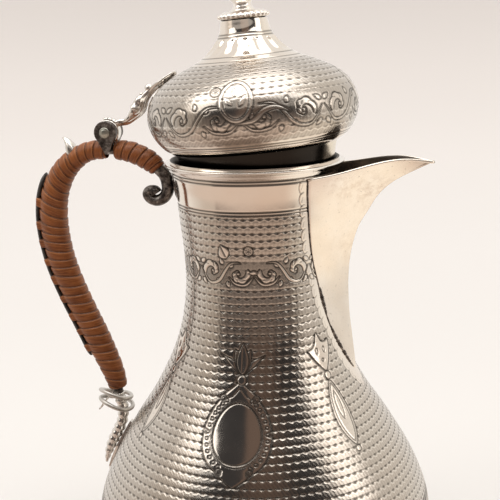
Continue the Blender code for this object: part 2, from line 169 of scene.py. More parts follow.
def finish(name, mesh, mat, body, values=None):
    """Checks and smooths a mesh, and gives its points the named values."""
    mesh.validate()
    for key, data in (values or {}).items():
        data = np.asarray(data, np.float32)
        kind = "FLOAT" if data.size == len(mesh.vertices) else "FLOAT_VECTOR"
        layer = mesh.attributes.new(key, kind, "POINT")
        layer.data.foreach_set("value" if kind == "FLOAT" else "vector", data.ravel())
    mesh.shade_smooth()
    return link(name, mesh, mat, body)


def build(name, points, faces, mat, body, values=None):
    """A mesh object in the row frame from millimetre points and quads."""
    mesh = bpy.data.meshes.new(name)
    points = np.asarray(points, np.float32).reshape(-1, 3) * MM
    faces = np.asarray(faces, np.int32)
    count, corners = faces.shape
    mesh.vertices.add(len(points))
    mesh.vertices.foreach_set("co", points.ravel())
    mesh.loops.add(count * corners)
    mesh.loops.foreach_set("vertex_index", faces.ravel())
    mesh.polygons.add(count)
    mesh.polygons.foreach_set("loop_start", np.arange(count, dtype=np.int32) * corners)
    mesh.polygons.foreach_set("loop_total", np.full(count, corners, np.int32))
    mesh.update(calc_edges=True)
    return finish(name, mesh, mat, body, values)


def grid_faces(rows, cols, round_cols=False, round_rows=False):
    """Quads of a grid of points, joined from its last column or row to the first if asked."""
    k, i = np.meshgrid(np.arange(rows - (not round_rows)), np.arange(cols - (not round_cols)),
                       indexing="ij")
    k2, i2 = (k + 1) % rows, (i + 1) % cols
    corners = [k * cols + i, k * cols + i2, k2 * cols + i2, k2 * cols + i]
    return np.stack(corners, -1).reshape(-1, 4)


def tube(name, rings, ends, mat, body):
    """A bar through rings of points, closed by a fan round each of the two end points."""
    rows, sides = rings.shape[:2]
    n, ring = rows * sides, np.arange(sides)
    after = (ring + 1) % sides
    fans = [np.stack([after, ring, 0 * ring + n], 1),
            np.stack([ring + n - sides, after + n - sides, 0 * ring + n + 1], 1)]
    faces = sum((group.tolist() for group in [grid_faces(rows, sides, True), *fans]), [])
    mesh = bpy.data.meshes.new(name)
    mesh.from_pydata((np.concatenate([rings.reshape(-1, 3), *ends]) * MM).tolist(), [], faces)
    return finish(name, mesh, mat, body)


def turned(name, profile, cols, mat, body, place=None, flute=None, closed=False, values=None):
    """A surface of revolution through (height, radius) rows. flute(height, angle) is added to
    the radius, and closed joins the last row to the first."""
    height, r = np.asarray(profile, float).T[..., None]
    a = np.linspace(-math.pi, math.pi, cols, endpoint=False)
    if flute is not None:
        r = r + flute(height, a[None])
    p = revolve(r, a, height)
    if place is not None:
        p = place(p)
    return build(name, p, grid_faces(len(height), cols, True, closed), mat, body, values)


def lid_place(p):
    """Closed-lid coordinates to the lid standing ajar on its hinge."""
    x, z = p[..., 0] + LID_SHIFT - HINGE[0], p[..., 2] - HINGE[1]
    c, s = math.cos(AJAR), math.sin(AJAR)
    return np.stack([HINGE[0] + x * c - z * s, p[..., 1], HINGE[1] + x * s + z * c], -1)


def lid_arm_place(p):
    """The same for the arm, whose table has the lid's shift in it."""
    return lid_place(p - np.array([LID_SHIFT, 0, 0]))


def hinge_place(p):
    """A turned piece laid along the hinge's axis."""
    return np.stack([HINGE[0] + p[..., 0], p[..., 2], HINGE[1] + p[..., 1]], -1)


def handle_frame(rows):
    """Centres and outward directions along (distance, height) rows in the handle's plane."""
    c = np.stack([-rows[:, 0], np.zeros(len(rows)), RIM + rows[:, 1]], 1)
    t = np.gradient(c, axis=0)
    t /= np.linalg.norm(t, axis=1)[:, None]
    return c[:, None], np.cross(t, SIDE)[:, None]


def sweep(name, rows, sides, mat, body, wide=1.0, place=None, shape=None):
    """A bar along (distance, height, radius) rows in the handle's plane. shape turns the arc
    length, the angle and the (out, side) offsets into new offsets."""
    c, out = handle_frame(rows)
    a = np.linspace(0, math.tau, sides, endpoint=False)
    r = rows[:, 2][:, None]
    u, v = r * np.cos(a), r * np.sin(a) * wide
    if shape is not None:
        u, v = shape(run(c[:, 0])[:, None], a[None], u, v)
    p = c + out * u[..., None] + SIDE * v[..., None]
    if place is not None:
        p = place(p)
    return tube(name, p, [p[:1].mean(1), p[-1:].mean(1)], mat, body)


def rope(name, points, radius, mat, body, sides=10, wobble=0.0, closed=False):
    """A round wire through millimetre points."""
    points = np.asarray(points, float)
    t = np.gradient(points, axis=0)
    if closed:
        t = np.roll(points, -1, 0) - np.roll(points, 1, 0)
    t /= np.linalg.norm(t, axis=1)[:, None] + 1e-12
    up = np.array([0, 0, 1.0]) if abs(t[:, 2]).mean() < 0.7 else np.array([0, 1.0, 0])
    n = np.cross(t, up)
    n /= np.linalg.norm(n, axis=1)[:, None] + 1e-12
    b = np.cross(t, n)[:, None]
    a = np.linspace(0, math.tau, sides, endpoint=False)[None, :, None]
    r = np.broadcast_to(np.asarray(radius, float), (len(points),)).copy()
    if wobble:
        r *= 1 + wobble * (RNG.random(len(points)) - 0.5) * 2
    p = points[:, None] + r[:, None, None] * (np.cos(a) * n[:, None] + np.sin(a) * b)
    if closed:
        return build(name, p, grid_faces(len(points), sides, True, True), mat, body)
    return tube(name, p, [points[:1], points[-1:]], mat, body)


def solid(obj, thickness, offset=-1.0, inside=None):
    """Gives a sheet its thickness, with another material on its inner side if asked."""
    step = obj.modifiers.new("thickness", "SOLIDIFY")
    if inside:
        obj.data.materials.append(inside)
        step.material_offset = 1
    step.thickness = thickness * MM
    step.offset = offset
    return obj


# ---------------------------------------------------------------- engraving

class Relief:
    """Relief, bare polish, tarnish, painted shade and a painted highlight over a surface of
    revolution.
    Rows run down the profile by arc length, columns round the axis by angle. Motifs are cut in
    local millimetres."""

    def __init__(self, table, cols, fine, coarse, split, datum):
        """Rows are fine apart above the height split and coarse apart below it, and heights
        of motifs count from the datum."""
        path = spline(table[::-1], 4000)
        arc = run(path)
        cut = float(np.interp(-split, -path[:, 0], arc))
        self.arc = np.concatenate(
            [np.arange(0, cut, fine), np.arange(cut, arc[-1], coarse), [arc[-1]]])
        self.z, self.radius = sample(path, arc, self.arc).T
        self.datum, self.ink = datum, 1.0
        self.angles = np.linspace(-math.pi, math.pi, cols, endpoint=False)
        self.groove, self.plain, self.swell = np.zeros((3, len(self.arc), cols))

    def down(self, height):
        """Arc length from the top to a height above the datum."""
        return float(np.interp(-(self.datum + height), -self.z, self.arc))

    def window(self, angles, arcs, pad):
        """The rows and columns round some points, as slices."""
        i0, i1 = np.searchsorted(self.arc, (np.min(arcs) - pad, np.max(arcs) + pad))
        side = 1.3 * pad / max(self.radius[min(i0, len(self.arc) - 1)], 5.0)
        ends = (np.min(angles) - side, np.max(angles) + side)
        return slice(i0, i1), slice(*np.searchsorted(self.angles, ends))

    def line(self, points, width=0.42, depth=1.0, closed=False):
        """Cuts a groove along (angle, arc) points."""
        width, points = width * self.ink, np.asarray(points)
        if closed:
            points = np.vstack([points, points[:1]])
        for (a0, t0), (a1, t1) in zip(points, points[1:]):
            rows, cols = self.window((a0, a1), (t0, t1), 2 * width)
            r = self.radius[rows, None]
            x, y = (self.angles[cols] - a0) * r, self.arc[rows, None] - t0
            dx, dy = (a1 - a0) * r, t1 - t0
            h = np.clip((x * dx + y * dy) / np.maximum(dx * dx + dy * dy, 1e-9), 0, 1)
            d = np.hypot(x - h * dx, y - h * dy)
            g = depth * np.clip(1 - (d / width) ** 2, 0, 1)
            self.groove[rows, cols] = np.maximum(self.groove[rows, cols], g)

    def ring(self, height, width=0.42, depth=1.0):
        """A line right round."""
        t = self.down(height)
        self.line([(-math.pi, t), (math.pi, t)], width, depth)

    def fill(self, points, lift=0.0, value=1.0):
        """Clears the inside of a loop, raises it by lift and marks it as bare by value."""
        p = np.array(points)
        rows, cols = self.window(*p.T, 0.3)
        x, y = self.angles[None, cols], self.arc[rows, None]
        inside = np.zeros((y.shape[0], x.shape[1]), bool)
        for (x0, y0), (x1, y1) in zip(p, np.roll(p, -1, 0)):
            if y0 != y1:
                edge = x0 + (y - y0) * (x1 - x0) / (y1 - y0)
                inside ^= (y >= min(y0, y1)) & (y < max(y0, y1)) & (x < edge)
        for layer, level in ((self.plain, value), (self.groove, 0.0), (self.swell, lift)):
            layer[rows, cols][inside] = level

    def cut(self, loop, lift, value, width, depth=1.0, closed=False):
        """A motif: a filled loop and its outline."""
        self.fill(loop, lift, value)
        self.line(loop, width, depth, closed)

    def at(self, points, angle, arc, flip=1, scale=1.0, turn=0.0):
        """Local (right, up) millimetres about a place, as (angle, arc) rows."""
        p = rotated(np.array(points, float) * [flip * scale, scale], turn)
        r = np.interp(arc, self.arc, self.radius)
        return np.stack([angle + p[:, 0] / r, arc - p[:, 1]], 1)

    def values(self, keep, band, ground, pit, crest_highlight):
        """The engraved material's attributes. band is 1 on the scroll bands, whose ground gets
        painted shade by ground; pit adds painted shade in the pits, the cut lines hold dark
        tarnish, and the last argument masks a painted highlight along the lips of the rows."""
        # Tarnish in the cut lines; painted shade in the pits and on the scroll bands' ground.
        dark = pit + 0.9 * self.groove + ground * band * (1 - self.plain)
        bare = self.plain + (1 - keep) * (1 - 0.6 * band)
        across = self.angles * np.maximum(self.radius, 1)[:, None]
        grid = np.stack(np.broadcast_arrays(across, self.arc[:, None], 0.0), -1)
        return {"tarnish_and_shade": np.clip(dark, 0, 1), "bare": np.clip(bare, 0, 1), "grid": grid,
                "crest_highlight": crest_highlight}


def petal(length, width, lean=0.0, count=14):
    """Closed outline of a leaf that grows up from the origin."""
    t = np.linspace(0, 1, count)
    w = 0.5 * width * np.sin(math.pi * t ** 0.8) ** 0.9
    bow = lean * t ** 1.6
    left = np.stack([bow - w, t * length], 1)
    right = np.stack([bow + w, t * length], 1)
    return np.vstack([left, right[::-1]])


def ellipse(rx, ry, count=44):
    t = np.linspace(0, math.tau, count, endpoint=False)
    return np.stack([rx * np.sin(t), ry * np.cos(t)], 1)


def disc(field, angle, arc, radius, lift=0.16):
    loop = field.at(ellipse(radius, radius, 22)[:, ::-1], angle, arc)
    field.cut(loop, lift, 1.0, 0.42, closed=True)


def comma(field, angle, arc, size, flip):
    """A small curl: a spiral crescent with an outline and a vein."""
    t = np.linspace(0, 1, 20)
    a = math.radians(250) - math.radians(420) * t
    way = np.stack([np.cos(a), np.sin(a)], 1)
    r = (size * (1 - 0.62 * t))[:, None]
    w = 0.8 * np.sin(math.pi * t ** 0.75)[:, None] ** 0.8
    outer, inner, vein = way * r, way * (r - w), (way * (r - 0.45 * w))[3:15]
    field.fill(field.at(np.vstack([outer, inner[::-1]]), angle, arc, flip), 0.10)
    for points, width, depth in ((outer, 0.40, 1.0), (inner, 0.34, 0.8), (vein, 0.22, 0.5)):
        field.line(field.at(points, angle, arc, flip), width, depth)


def acanthus(field, angle, arc, size, start, flip, bare):
    """A curled leaf with a lobed back, a smooth inner edge and veins between the lobes."""
    t = np.linspace(0, 1, 44)
    a = math.radians(start) - math.radians(310) * t
    r = size * (1 - 0.70 * t)
    w = 0.46 * size * np.sin(math.pi * (0.04 + 0.96 * t) ** 0.7) ** 0.7
    back = r + 0.15 * size * np.abs(np.sin(math.pi * 5 * t)) * (1 - t) ** 0.5
    way = np.stack([np.cos(a), np.sin(a)], 1)
    outer, inner = way * back[:, None], way * (r - w)[:, None]
    field.fill(field.at(np.vstack([outer, inner[::-1]]), angle, arc, flip), 0.10, bare)
    field.line(field.at(outer, angle, arc, flip), 0.38)
    field.line(field.at(inner, angle, arc, flip), 0.34, 0.85)
    for k in (9, 18, 26, 34):
        vein = [way[k] * r[k], way[k + 2] * (r[k] - 0.62 * w[k])]
        field.line(field.at(vein, angle, arc, flip), 0.24, 0.7)


def stroke(field, angle, arc, points, wide, flip=1, bare=0.7):
    """A tapering stem through local points."""
    path = spline(points, 24)
    t = np.gradient(path, axis=0)
    n = np.stack([-t[:, 1], t[:, 0]], 1) / np.linalg.norm(t, axis=1)[:, None]
    w = 0.5 * wide * np.sin(math.pi * np.linspace(0.08, 0.92, 24))[:, None]
    loop = field.at(np.vstack([path + n * w, (path - n * w)[::-1]]), angle, arc, flip)
    field.cut(loop, 0.08, bare, 0.32, 0.9)


def scroll_band(field, arc, height, count, phase=0.0, bare=0.7):
    """Running acanthus scroll: pairs of curled leaves on an S stem, with leaflets between."""
    r = float(np.interp(arc, field.arc, field.radius))
    k = height / 10.0
    unit = math.tau * r / count / (28.0 * k)
    for i in range(count):
        a = -math.pi + math.tau * (i + 0.5) / count + phase
        if abs(a) > math.pi - 15.5 * k * unit / r:
            continue
        flip = 1 if i % 2 else -1

        def spot(x, y):
            return field.at([(x * k * unit, y * k)], a, arc, flip)[0]

        for x, y, turn, long in (
            (-13.6, 3.2, 0.9, 3.4), (-13.2, -3.2, 2.2, 3.4), (-0.6, 3.4, -0.5, 2.8),
            (1.0, -3.4, 2.7, 2.8), (12.8, 0.2, 1.5, 3.0), (2.6, 2.2, 0.5, 2.6),
            (-2.4, -2.4, -2.4, 2.6),
        ):
            leaf = rotated(petal(long * k, 1.9 * k, 0.3 * k), -turn)
            field.cut(field.at(leaf, *spot(x, y), flip), 0.08, bare, 0.32, 0.9)
        for points in (
            [(-13.5, 1.5), (-9.0, -4.3), (-3.5, -3.6), (0.5, 1.0), (3.5, 4.0), (8.0, 4.2)],
            [(13.8, -1.5), (10.0, -4.6), (5.0, -4.2), (2.0, -1.6)],
        ):
            stroke(field, a, arc, np.array(points) * [k * unit, k], 1.25 * k, flip, bare)
        acanthus(field, *spot(-6.6, 0.7), 4.7 * k, 205, flip, bare)
        acanthus(field, *spot(6.9, -0.6), 4.4 * k, 30, flip, bare)
        disc(field, *spot(-6.3, 0.4), 0.7 * k)
        disc(field, *spot(6.6, -0.2), 0.7 * k)


def fleur(field, angle, arc, scale):
    """Three-petalled palmette standing on a ball, its foot at the given place."""
    for outline in (
        petal(6.0, 3.2, 7.0) + [0.6, 0.2], petal(6.0, 3.2, -7.0) + [-0.6, 0.2],
        petal(8.0, 3.4, 2.4) + [0.3, 0.1], petal(8.0, 3.4, -2.4) + [-0.3, 0.1],
        petal(10.2, 4.2),
    ):
        field.cut(field.at(outline, angle, arc, scale=scale), 0.10, 0.9, 0.42)
    field.line(field.at([(0, 1), (0, 8.5)], angle, arc, scale=scale), 0.3, 0.7)
    disc(field, angle, arc + 1.7 * scale, 1.5 * scale)


def medallion(field, angle, arc):
    """Oval cartouche in a pointed, scrolled frame, with its blank centre at the given place."""
    outline = mirrored(spline([
        (0, 20.8), (4.1, 17.8), (8.0, 14.8), (9.3, 12.8), (11.2, 10.2), (13.2, 5.4), (13.9, 0),
        (13.0, -6.2), (10.2, -11.8), (6.0, -15.6), (2.6, -18.8), (0, -20.8),
    ], 60))
    field.cut(field.at(outline, angle, arc), 0.06, 0.92, 0.46, closed=True)
    field.cut(field.at(ellipse(9.8, 12.2), angle, arc), -0.05, 1.0, 0.5, closed=True)
    field.line(field.at(ellipse(10.7, 13.2), angle, arc), 0.3, 0.7, closed=True)
    chevron = [(-6.6, 13.4), (-3.4, 14.6), (0, 18.0), (3.4, 14.6), (6.6, 13.4)]
    field.line(field.at(chevron, angle, arc), 0.34, 0.8)
    for flip in (1, -1):
        for x, y, size in ((7.9, 13.6, 1.9), (5.4, -15.0, 1.7), (13.4, 0.0, 1.3)):
            comma(field, *field.at([(x, y)], angle, arc, flip)[0], size, flip)
        for k in range(13):
            t = math.radians(28 + 10.4 * k)
            bead = (12.1 * math.sin(t), 14.6 * math.cos(t))
            disc(field, *field.at([bead], angle, arc, flip)[0], 0.62, 0.14)


def spindle(field, angle, arc, flip):
    """Tulip with a ball under it and a tall double-lined spindle hanging from the ball."""
    cup = spline([
        (-7.6, 9.8), (-4.6, 10.4), (-2.8, 12.2), (-0.6, 16.4), (1.6, 12.6), (4.2, 12.0),
        (6.8, 12.2), (5.0, 7.0), (2.4, 2.8), (0, 0.4), (-2.6, 2.8), (-5.4, 6.4), (-7.6, 9.8),
    ], 56)
    field.cut(field.at(cup, angle, arc, flip), 0.10, 0.92, 0.50)
    for x in (-2.3, 2.1):
        drop = ellipse(0.6, 1.3, 12) + [x, 9.0]
        field.line(field.at(drop, angle, arc, flip), 0.34, closed=True)
    disc(field, *field.at([(0, 5.0)], angle, arc)[0], 0.6, 0.0)
    disc(field, angle, arc + 1.4, 1.7)
    t = np.linspace(-1, 1, 30)
    for rx, ry, y, width in ((3.7, 14.0, -17.2, 0.46), (2.7, 12.4, -17.2, 0.36),
                             (1.15, 6.0, -14.0, 0.36)):
        lens = mirrored(np.stack([rx * (1 - t ** 2) ** 0.85, y + ry * t], 1))
        field.cut(field.at(lens, angle, arc), 0.07, 0.92, width, closed=True)
    disc(field, *field.at([(0, -32.6)], angle, arc)[0], 1.3)


def punch(field, angle, arc, size):
    """A small generic rosette punch, six petals in a ring."""
    disc(field, angle, arc, size, -0.12)
    ring = ellipse(size * 0.62, size * 0.62, 16)
    field.line(field.at(ring, angle, arc), 0.22, 0.8, closed=True)
    for k in range(6):
        t = k * math.tau / 6
        tip = [(0, 0), (0.55 * size * math.sin(t), 0.55 * size * math.cos(t))]
        field.line(field.at(tip, angle, arc), 0.3, 0.9)


def wave_rows(field, coordinate, period, keep):
    """Hammered rows: swags with a lens-shaped pit above each. coordinate counts rows down the
    profile, keep is 1 where the rows show. Returns (height, pit, lip); pit and lip also mask the
    painted shade in the pits and the painted highlight along the rows' lips."""
    b = np.round(coordinate)
    d = coordinate - b
    radius = np.interp(b, coordinate, field.radius)
    count = np.maximum(np.round(math.tau * radius / period), 6)[:, None]
    u = count * (field.angles[None] + math.pi / 2) / math.tau
    s2 = np.sin(math.pi * u) ** 2
    d = d[:, None] + 0.03 * np.sin(field.angles[None] * 9 + b[:, None] * 1.7)
    upper, lower = -0.06 - 0.09 * s2, 0.03 + 0.24 * s2
    middle, half = (upper + lower) / 2, (lower - upper) / 2
    pit = np.clip(1 - ((d - middle) / half) ** 2, 0, 1) * (0.35 + 0.65 * s2)
    lip = np.exp(-((d - lower - 0.08) / 0.075) ** 2)
    roll = 0.5 - 0.5 * np.cos(math.tau * (d - 0.08))
    height = 0.06 * roll + 0.06 * lip - 0.20 * pit
    keep = keep * (1 - field.plain)
    return height * keep, pit * keep, lip * keep


# ---------------------------------------------------------------- materials

class Nodes:
    """Short helpers that add shader nodes to a tree."""

    def __init__(self, tree):
        self.tree = tree

    def feed(self, node, key, value):
        """Links a socket to an input, or sets the input's constant."""
        into = node.inputs[key]
        if isinstance(value, bpy.types.NodeSocket):
            self.tree.links.new(value, into)
        else:
            into.default_value = (*value, 1) if into.type == "RGBA" else value

    def put(self, kind, **inputs):
        node = self.tree.nodes.new("ShaderNode" + kind)
        for key, value in inputs.items():
            if hasattr(node, key) and key not in node.inputs:
                setattr(node, key, value)
            else:
                self.feed(node, key, value)
        return node

    def math(self, operation, a, b=0.0, clamp=False):
        node = self.put("Math", operation=operation, use_clamp=clamp)
        self.feed(node, 0, a)
        self.feed(node, 1, b)
        return node.outputs[0]

    def times(self, a, b):
        return self.math("MULTIPLY", a, b)

    def plus(self, a, b):
        return self.math("ADD", a, b)

    def ramp(self, value, stops, ease=False):
        """A colour or grey for each value between the (position, colour) stops."""
        node = self.put("ValToRGB", Fac=value)
        node.color_ramp.interpolation = "EASE" if ease else "LINEAR"
        cells = node.color_ramp.elements
        while len(cells) < len(stops):
            cells.new(0.5)
        for cell, (at, colour) in zip(cells, stops):
            cell.position = at
            cell.color = (*colour, 1) if np.ndim(colour) else (colour, colour, colour, 1)
        return node.outputs["Color"]

    def mix(self, fac, a, b):
        node = self.put("Mix", data_type="RGBA")
        for key, value in ((0, fac), (6, a), (7, b)):
            self.feed(node, key, value)
        return node.outputs[2]


class Shade(Nodes):
    """A Principled material under construction."""

    def __init__(self, name, rough=0.3, metal=1.0, color=(0.8, 0.77, 0.73)):
        self.mat = bpy.data.materials.new(name)
        self.mat.use_nodes = True
        super().__init__(self.mat.node_tree)
        self.shader = self.tree.nodes["Principled BSDF"]
        self.set(**{"Metallic": metal, "Roughness": rough, "Base Color": color})
        self.mat.diffuse_color = (*color, 1)
        self.height = None

    def set(self, **inputs):
        for key, value in inputs.items():
            self.feed(self.shader, key, value)

    def place(self):
        return self.put("TexCoord").outputs["Object"]

    def attr(self, name, vector=False):
        node = self.put("Attribute", attribute_name=name)
        return node.outputs["Vector" if vector else "Fac"]

    def split(self, vector):
        return self.put("SeparateXYZ", Vector=vector).outputs

    def noise(self, scale, detail=3.0, rough=0.55, stretch=None, vector=None):
        vector = vector or self.place()
        if stretch:
            vector = self.put("Mapping", Vector=vector, Scale=stretch).outputs[0]
        node = self.put("TexNoise", Vector=vector, Scale=scale, Detail=detail, Roughness=rough)
        return node.outputs["Fac"]

    def bump(self, height, distance, strength):
        extra = {"Normal": self.height} if self.height else {}
        node = self.put("Bump", Height=height, Distance=distance, Strength=strength, **extra)
        self.height = node.outputs[0]

    def done(self, color, rough=None):
        self.set(**{"Base Color": color})
        if rough is not None:
            self.set(Roughness=rough)
        if self.height:
            self.set(Normal=self.height)
        return self.mat


def silver(name, light, warm, rough, stain=0.35, scratches=1.0):
    """Worn polished silver: clouds of warm tarnish, faint scratches and dents."""
    s = Shade(name, rough)
    cloud = s.ramp(s.noise(38, 4), [(0.38, 0.0), (0.68, 1.0)])
    colour = s.mix(s.times(cloud, stain), light, warm)
    blot = s.ramp(s.noise(330, 5, 0.7), [(0.42, 0.0), (0.66, 1.0)])
    mark = s.times(s.attr("stain"), blot)
    colour = s.mix(s.times(mark, 0.75), colour, (0.42, 0.27, 0.18))
    speck = s.ramp(s.noise(900, 2), [(0.66, 0.0), (0.74, 1.0)])
    colour = s.mix(s.times(speck, 0.35), colour, (0.25, 0.2, 0.16))
    s.bump(s.noise(60, 2), 0.0006, 0.25)
    s.bump(s.noise(500, 3, stretch=(1, 1, 0.12)), 0.00006, 0.25 * scratches)
    return s.done(colour, s.plus(s.times(s.noise(120, 4), 0.22), rough - 0.08))


def engraved(name):
    """Silver cut all over: tarnish darkens the cut lines, painted shade darkens the pits and the
    scroll bands' ground, a painted highlight runs along the lips of the rows, bare leaves are
    polished, and fine engine-turned hatching covers the ground."""
    s = Shade(name, 0.3)
    tarnish_and_shade, bare = s.attr("tarnish_and_shade"), s.attr("bare")
    u, v, _ = s.split(s.attr("grid", True))
    ground = s.math("SUBTRACT", 1.0, bare, True)
    bars = s.math("SINE", s.times(u, math.tau / 1.5))
    slant = s.plus(u, s.times(v, 0.7))
    twill = s.math("SINE", s.times(slant, math.tau / 0.47))
    hatch = s.plus(s.times(bars, 0.6), s.times(twill, 0.4))
    s.bump(s.times(hatch, ground), 0.000012, 0.9)
    s.bump(s.noise(420), 0.00005, 0.2)
    cloud = s.times(s.ramp(s.noise(30, 4), [(0.4, 0.0), (0.7, 1.0)]), 0.5)
    polish = s.mix(cloud, (0.80, 0.745, 0.68), (0.74, 0.63, 0.54))
    worn = s.mix(cloud, (0.60, 0.555, 0.505), (0.56, 0.485, 0.42))
    colour = s.mix(ground, polish, worn)
    shade = s.times(s.plus(s.times(hatch, 0.24), 0.30), ground)
    colour = s.mix(shade, colour, (0.30, 0.27, 0.24))
    # Painted highlight along the lips of the rows.
    colour = s.mix(s.times(s.attr("crest_highlight"), 0.62), colour, (0.96, 0.91, 0.84))
    # Tarnish in the cut lines, painted shade in the pits and on the bands' ground.
    colour = s.mix(tarnish_and_shade, colour, (0.05, 0.043, 0.037))
    r = s.plus(s.times(ground, 0.05), s.times(s.noise(150), 0.09))
    r = s.plus(r, s.plus(s.times(tarnish_and_shade, 0.25), 0.07))
    return s.done(colour, r)


def oxidised(name):
    """Silver gone nearly black, brighter where it is rubbed."""
    s = Shade(name, 0.45)
    blotch = s.ramp(s.noise(420, 5, 0.7), [
        (0.36, (0.035, 0.03, 0.028)), (0.52, (0.15, 0.135, 0.125)), (0.72, (0.46, 0.43, 0.40))])
    s.bump(s.noise(700, 4), 0.00025, 0.6)
    return s.done(blotch, s.plus(s.times(s.noise(300), 0.4), 0.2))


def cane(name):
    """Split cane, glossy outside: streaks run along each strip, a painted highlight lightens one
    edge of each lap, and the gaps between laps are dark."""
    s = Shade(name, 0.4, 0.0, (0.32, 0.13, 0.055))
    round_mm, across, lap = s.split(s.attr("lay", True))
    spot = s.put("CombineXYZ", X=s.times(round_mm, 0.10),
                 Y=s.times(across, 5.0), Z=s.times(lap, 3.7))
    streak = s.noise(2.2, 5.0, 0.65, vector=spot.outputs[0])
    strip = s.put("CombineXYZ", X=s.times(round_mm, 0.05), Y=lap)
    tone = s.noise(1.7, 2.0, 0.5, vector=strip.outputs[0])
    colour = s.ramp(streak, [
        (0.30, (0.085, 0.022, 0.006)), (0.5, (0.225, 0.066, 0.017)), (0.70, (0.45, 0.17, 0.052))])
    colour = s.mix(s.ramp(tone, [(0.35, 0.0), (0.7, 0.55)]), colour, (0.40, 0.135, 0.036))
    # Painted highlight along each lap's edge.
    edge = s.ramp(across, [(0.0, 0.0), (0.10, 0.0), (0.16, 1.0), (0.26, 0.0)])
    colour = s.mix(s.times(edge, 0.35), colour, (0.52, 0.25, 0.11))
    gap = s.ramp(across, [(0.0, 1.0), (0.07, 0.5), (0.12, 0.0), (0.9, 0.0), (1.0, 1.0)])
    colour = s.mix(gap, colour, (0.02, 0.008, 0.005))
    s.bump(streak, 0.0002, 0.5)
    s.set(**{"Coat Weight": 0.10, "Specular IOR Level": 0.35, "Coat Roughness": 0.25})
    return s.done(colour, s.plus(s.times(streak, 0.3), 0.28))


def leathery(name):
    s = Shade(name, 0.4, 0.0, (0.02, 0.017, 0.015))
    n = s.noise(900, 4)
    s.bump(n, 0.0002, 0.6)
    colour = s.ramp(s.noise(260, 4), [(0.35, (0.010, 0.009, 0.008)), (0.7, (0.055, 0.048, 0.045))])
    return s.done(colour, s.plus(s.times(n, 0.3), 0.3))


def bezel_painted_shade(name):
    """Painted shade: silver coloured nearly black where the bezel sits in shadow inside the
    collar, lighter only opposite the hinge where the ajar lid lifts it into the light.
    """
    s = Shade(name, 0.26)
    return s.done(s.mix(s.attr("stain"), (0.80, 0.72, 0.60), (0.03, 0.026, 0.023)))


def make_materials():
    return {
        "engraved": engraved("engraved_silver_worked"),
        "silver": silver("polished_silver_worn", (0.86, 0.83, 0.79), (0.76, 0.66, 0.57), 0.17),
        "spout": silver("beak_silver", (0.93, 0.89, 0.83), (0.86, 0.74, 0.60), 0.20, 0.5, 0.6),
        "cast": silver("cast_silver", (0.80, 0.78, 0.75), (0.55, 0.50, 0.46), 0.20, 0.6),
        "oxide": oxidised("tarnished_silver"),
        "cane": cane("split_cane"),
        "black": leathery("black_slip_satin"),
        "wire": silver("binding_wire_grey", (0.62, 0.60, 0.57), (0.42, 0.39, 0.36), 0.34, 0.8),
        "solder": oxidised("seam_solder"),
        "bezel": bezel_painted_shade("bezel_painted_shade"),
        "inside": silver("inside_tarnished", (0.085, 0.072, 0.062), (0.045, 0.036, 0.03), 0.38,
                         0.8),
        "pin": silver("pin_head", (0.52, 0.52, 0.47), (0.36, 0.37, 0.32), 0.3, 0.8),
    }


# ---------------------------------------------------------------- the pot

def leaf_border(field):
    """Plain ground outside the seam of the spout, edged by a row of overlapping leaves."""
    edge = spline([
        (-2, 47.2), (-9, 46.3), (-17, 44.6), (-28, 42.5), (-33.5, 40.7), (-45, 35), (-55, 29.6),
        (-61, 26.6), (-71, 19.5), (-76, 17.3), (-81, 15.5), (-86, 12.2), (-92, 7.5), (-96, 0.0),
    ], 400)
    edge[:, 1] = np.maximum(edge[:, 1], 0.0)

    def girth(height):
        return np.interp(-(RIM + height), -field.z, field.radius)

    half = [(math.radians(a), field.down(h)) for h, a in edge[::6]]
    field.fill(half + [(-a, t) for a, t in half[::-1]])
    steps = np.hypot(np.diff(edge[:, 0]), np.radians(np.diff(edge[:, 1])) * girth(edge[1:, 0]))
    length = np.concatenate([[0], np.cumsum(steps)])
    for flip in (1, -1):
        for s in np.arange(3.0, length[-1] - 1.0, 5.0):
            (h0, a0), (h1, a1) = sample(edge, length, [s, min(s + 5.2, length[-1])])
            r = girth(h0)
            start = np.array([math.radians(a0) * r, h0])
            along = np.array([math.radians(a1) * r, h1]) - start
            out = np.array([-along[1], along[0]]) / (np.hypot(*along) or 1.0)
            out = -out if out[0] < 0 else out

            def traced(points):
                path = [start + side * out + far * along for side, far in points]
                path = spline(path, 14) if len(path) > 2 else path
                return [(flip * x / r, field.down(y)) for x, y in path]

            leaf = traced([(-1.3, 0), (0.3, 0.12), (0.95, 0.55), (0.35, 0.95), (-0.7, 1.0)])
            field.cut(leaf, 0.05, 1.0, 0.30, 0.62)
            field.line(traced([(-0.9, 0.35), (-0.1, 0.72)]), 0.22, 0.4)


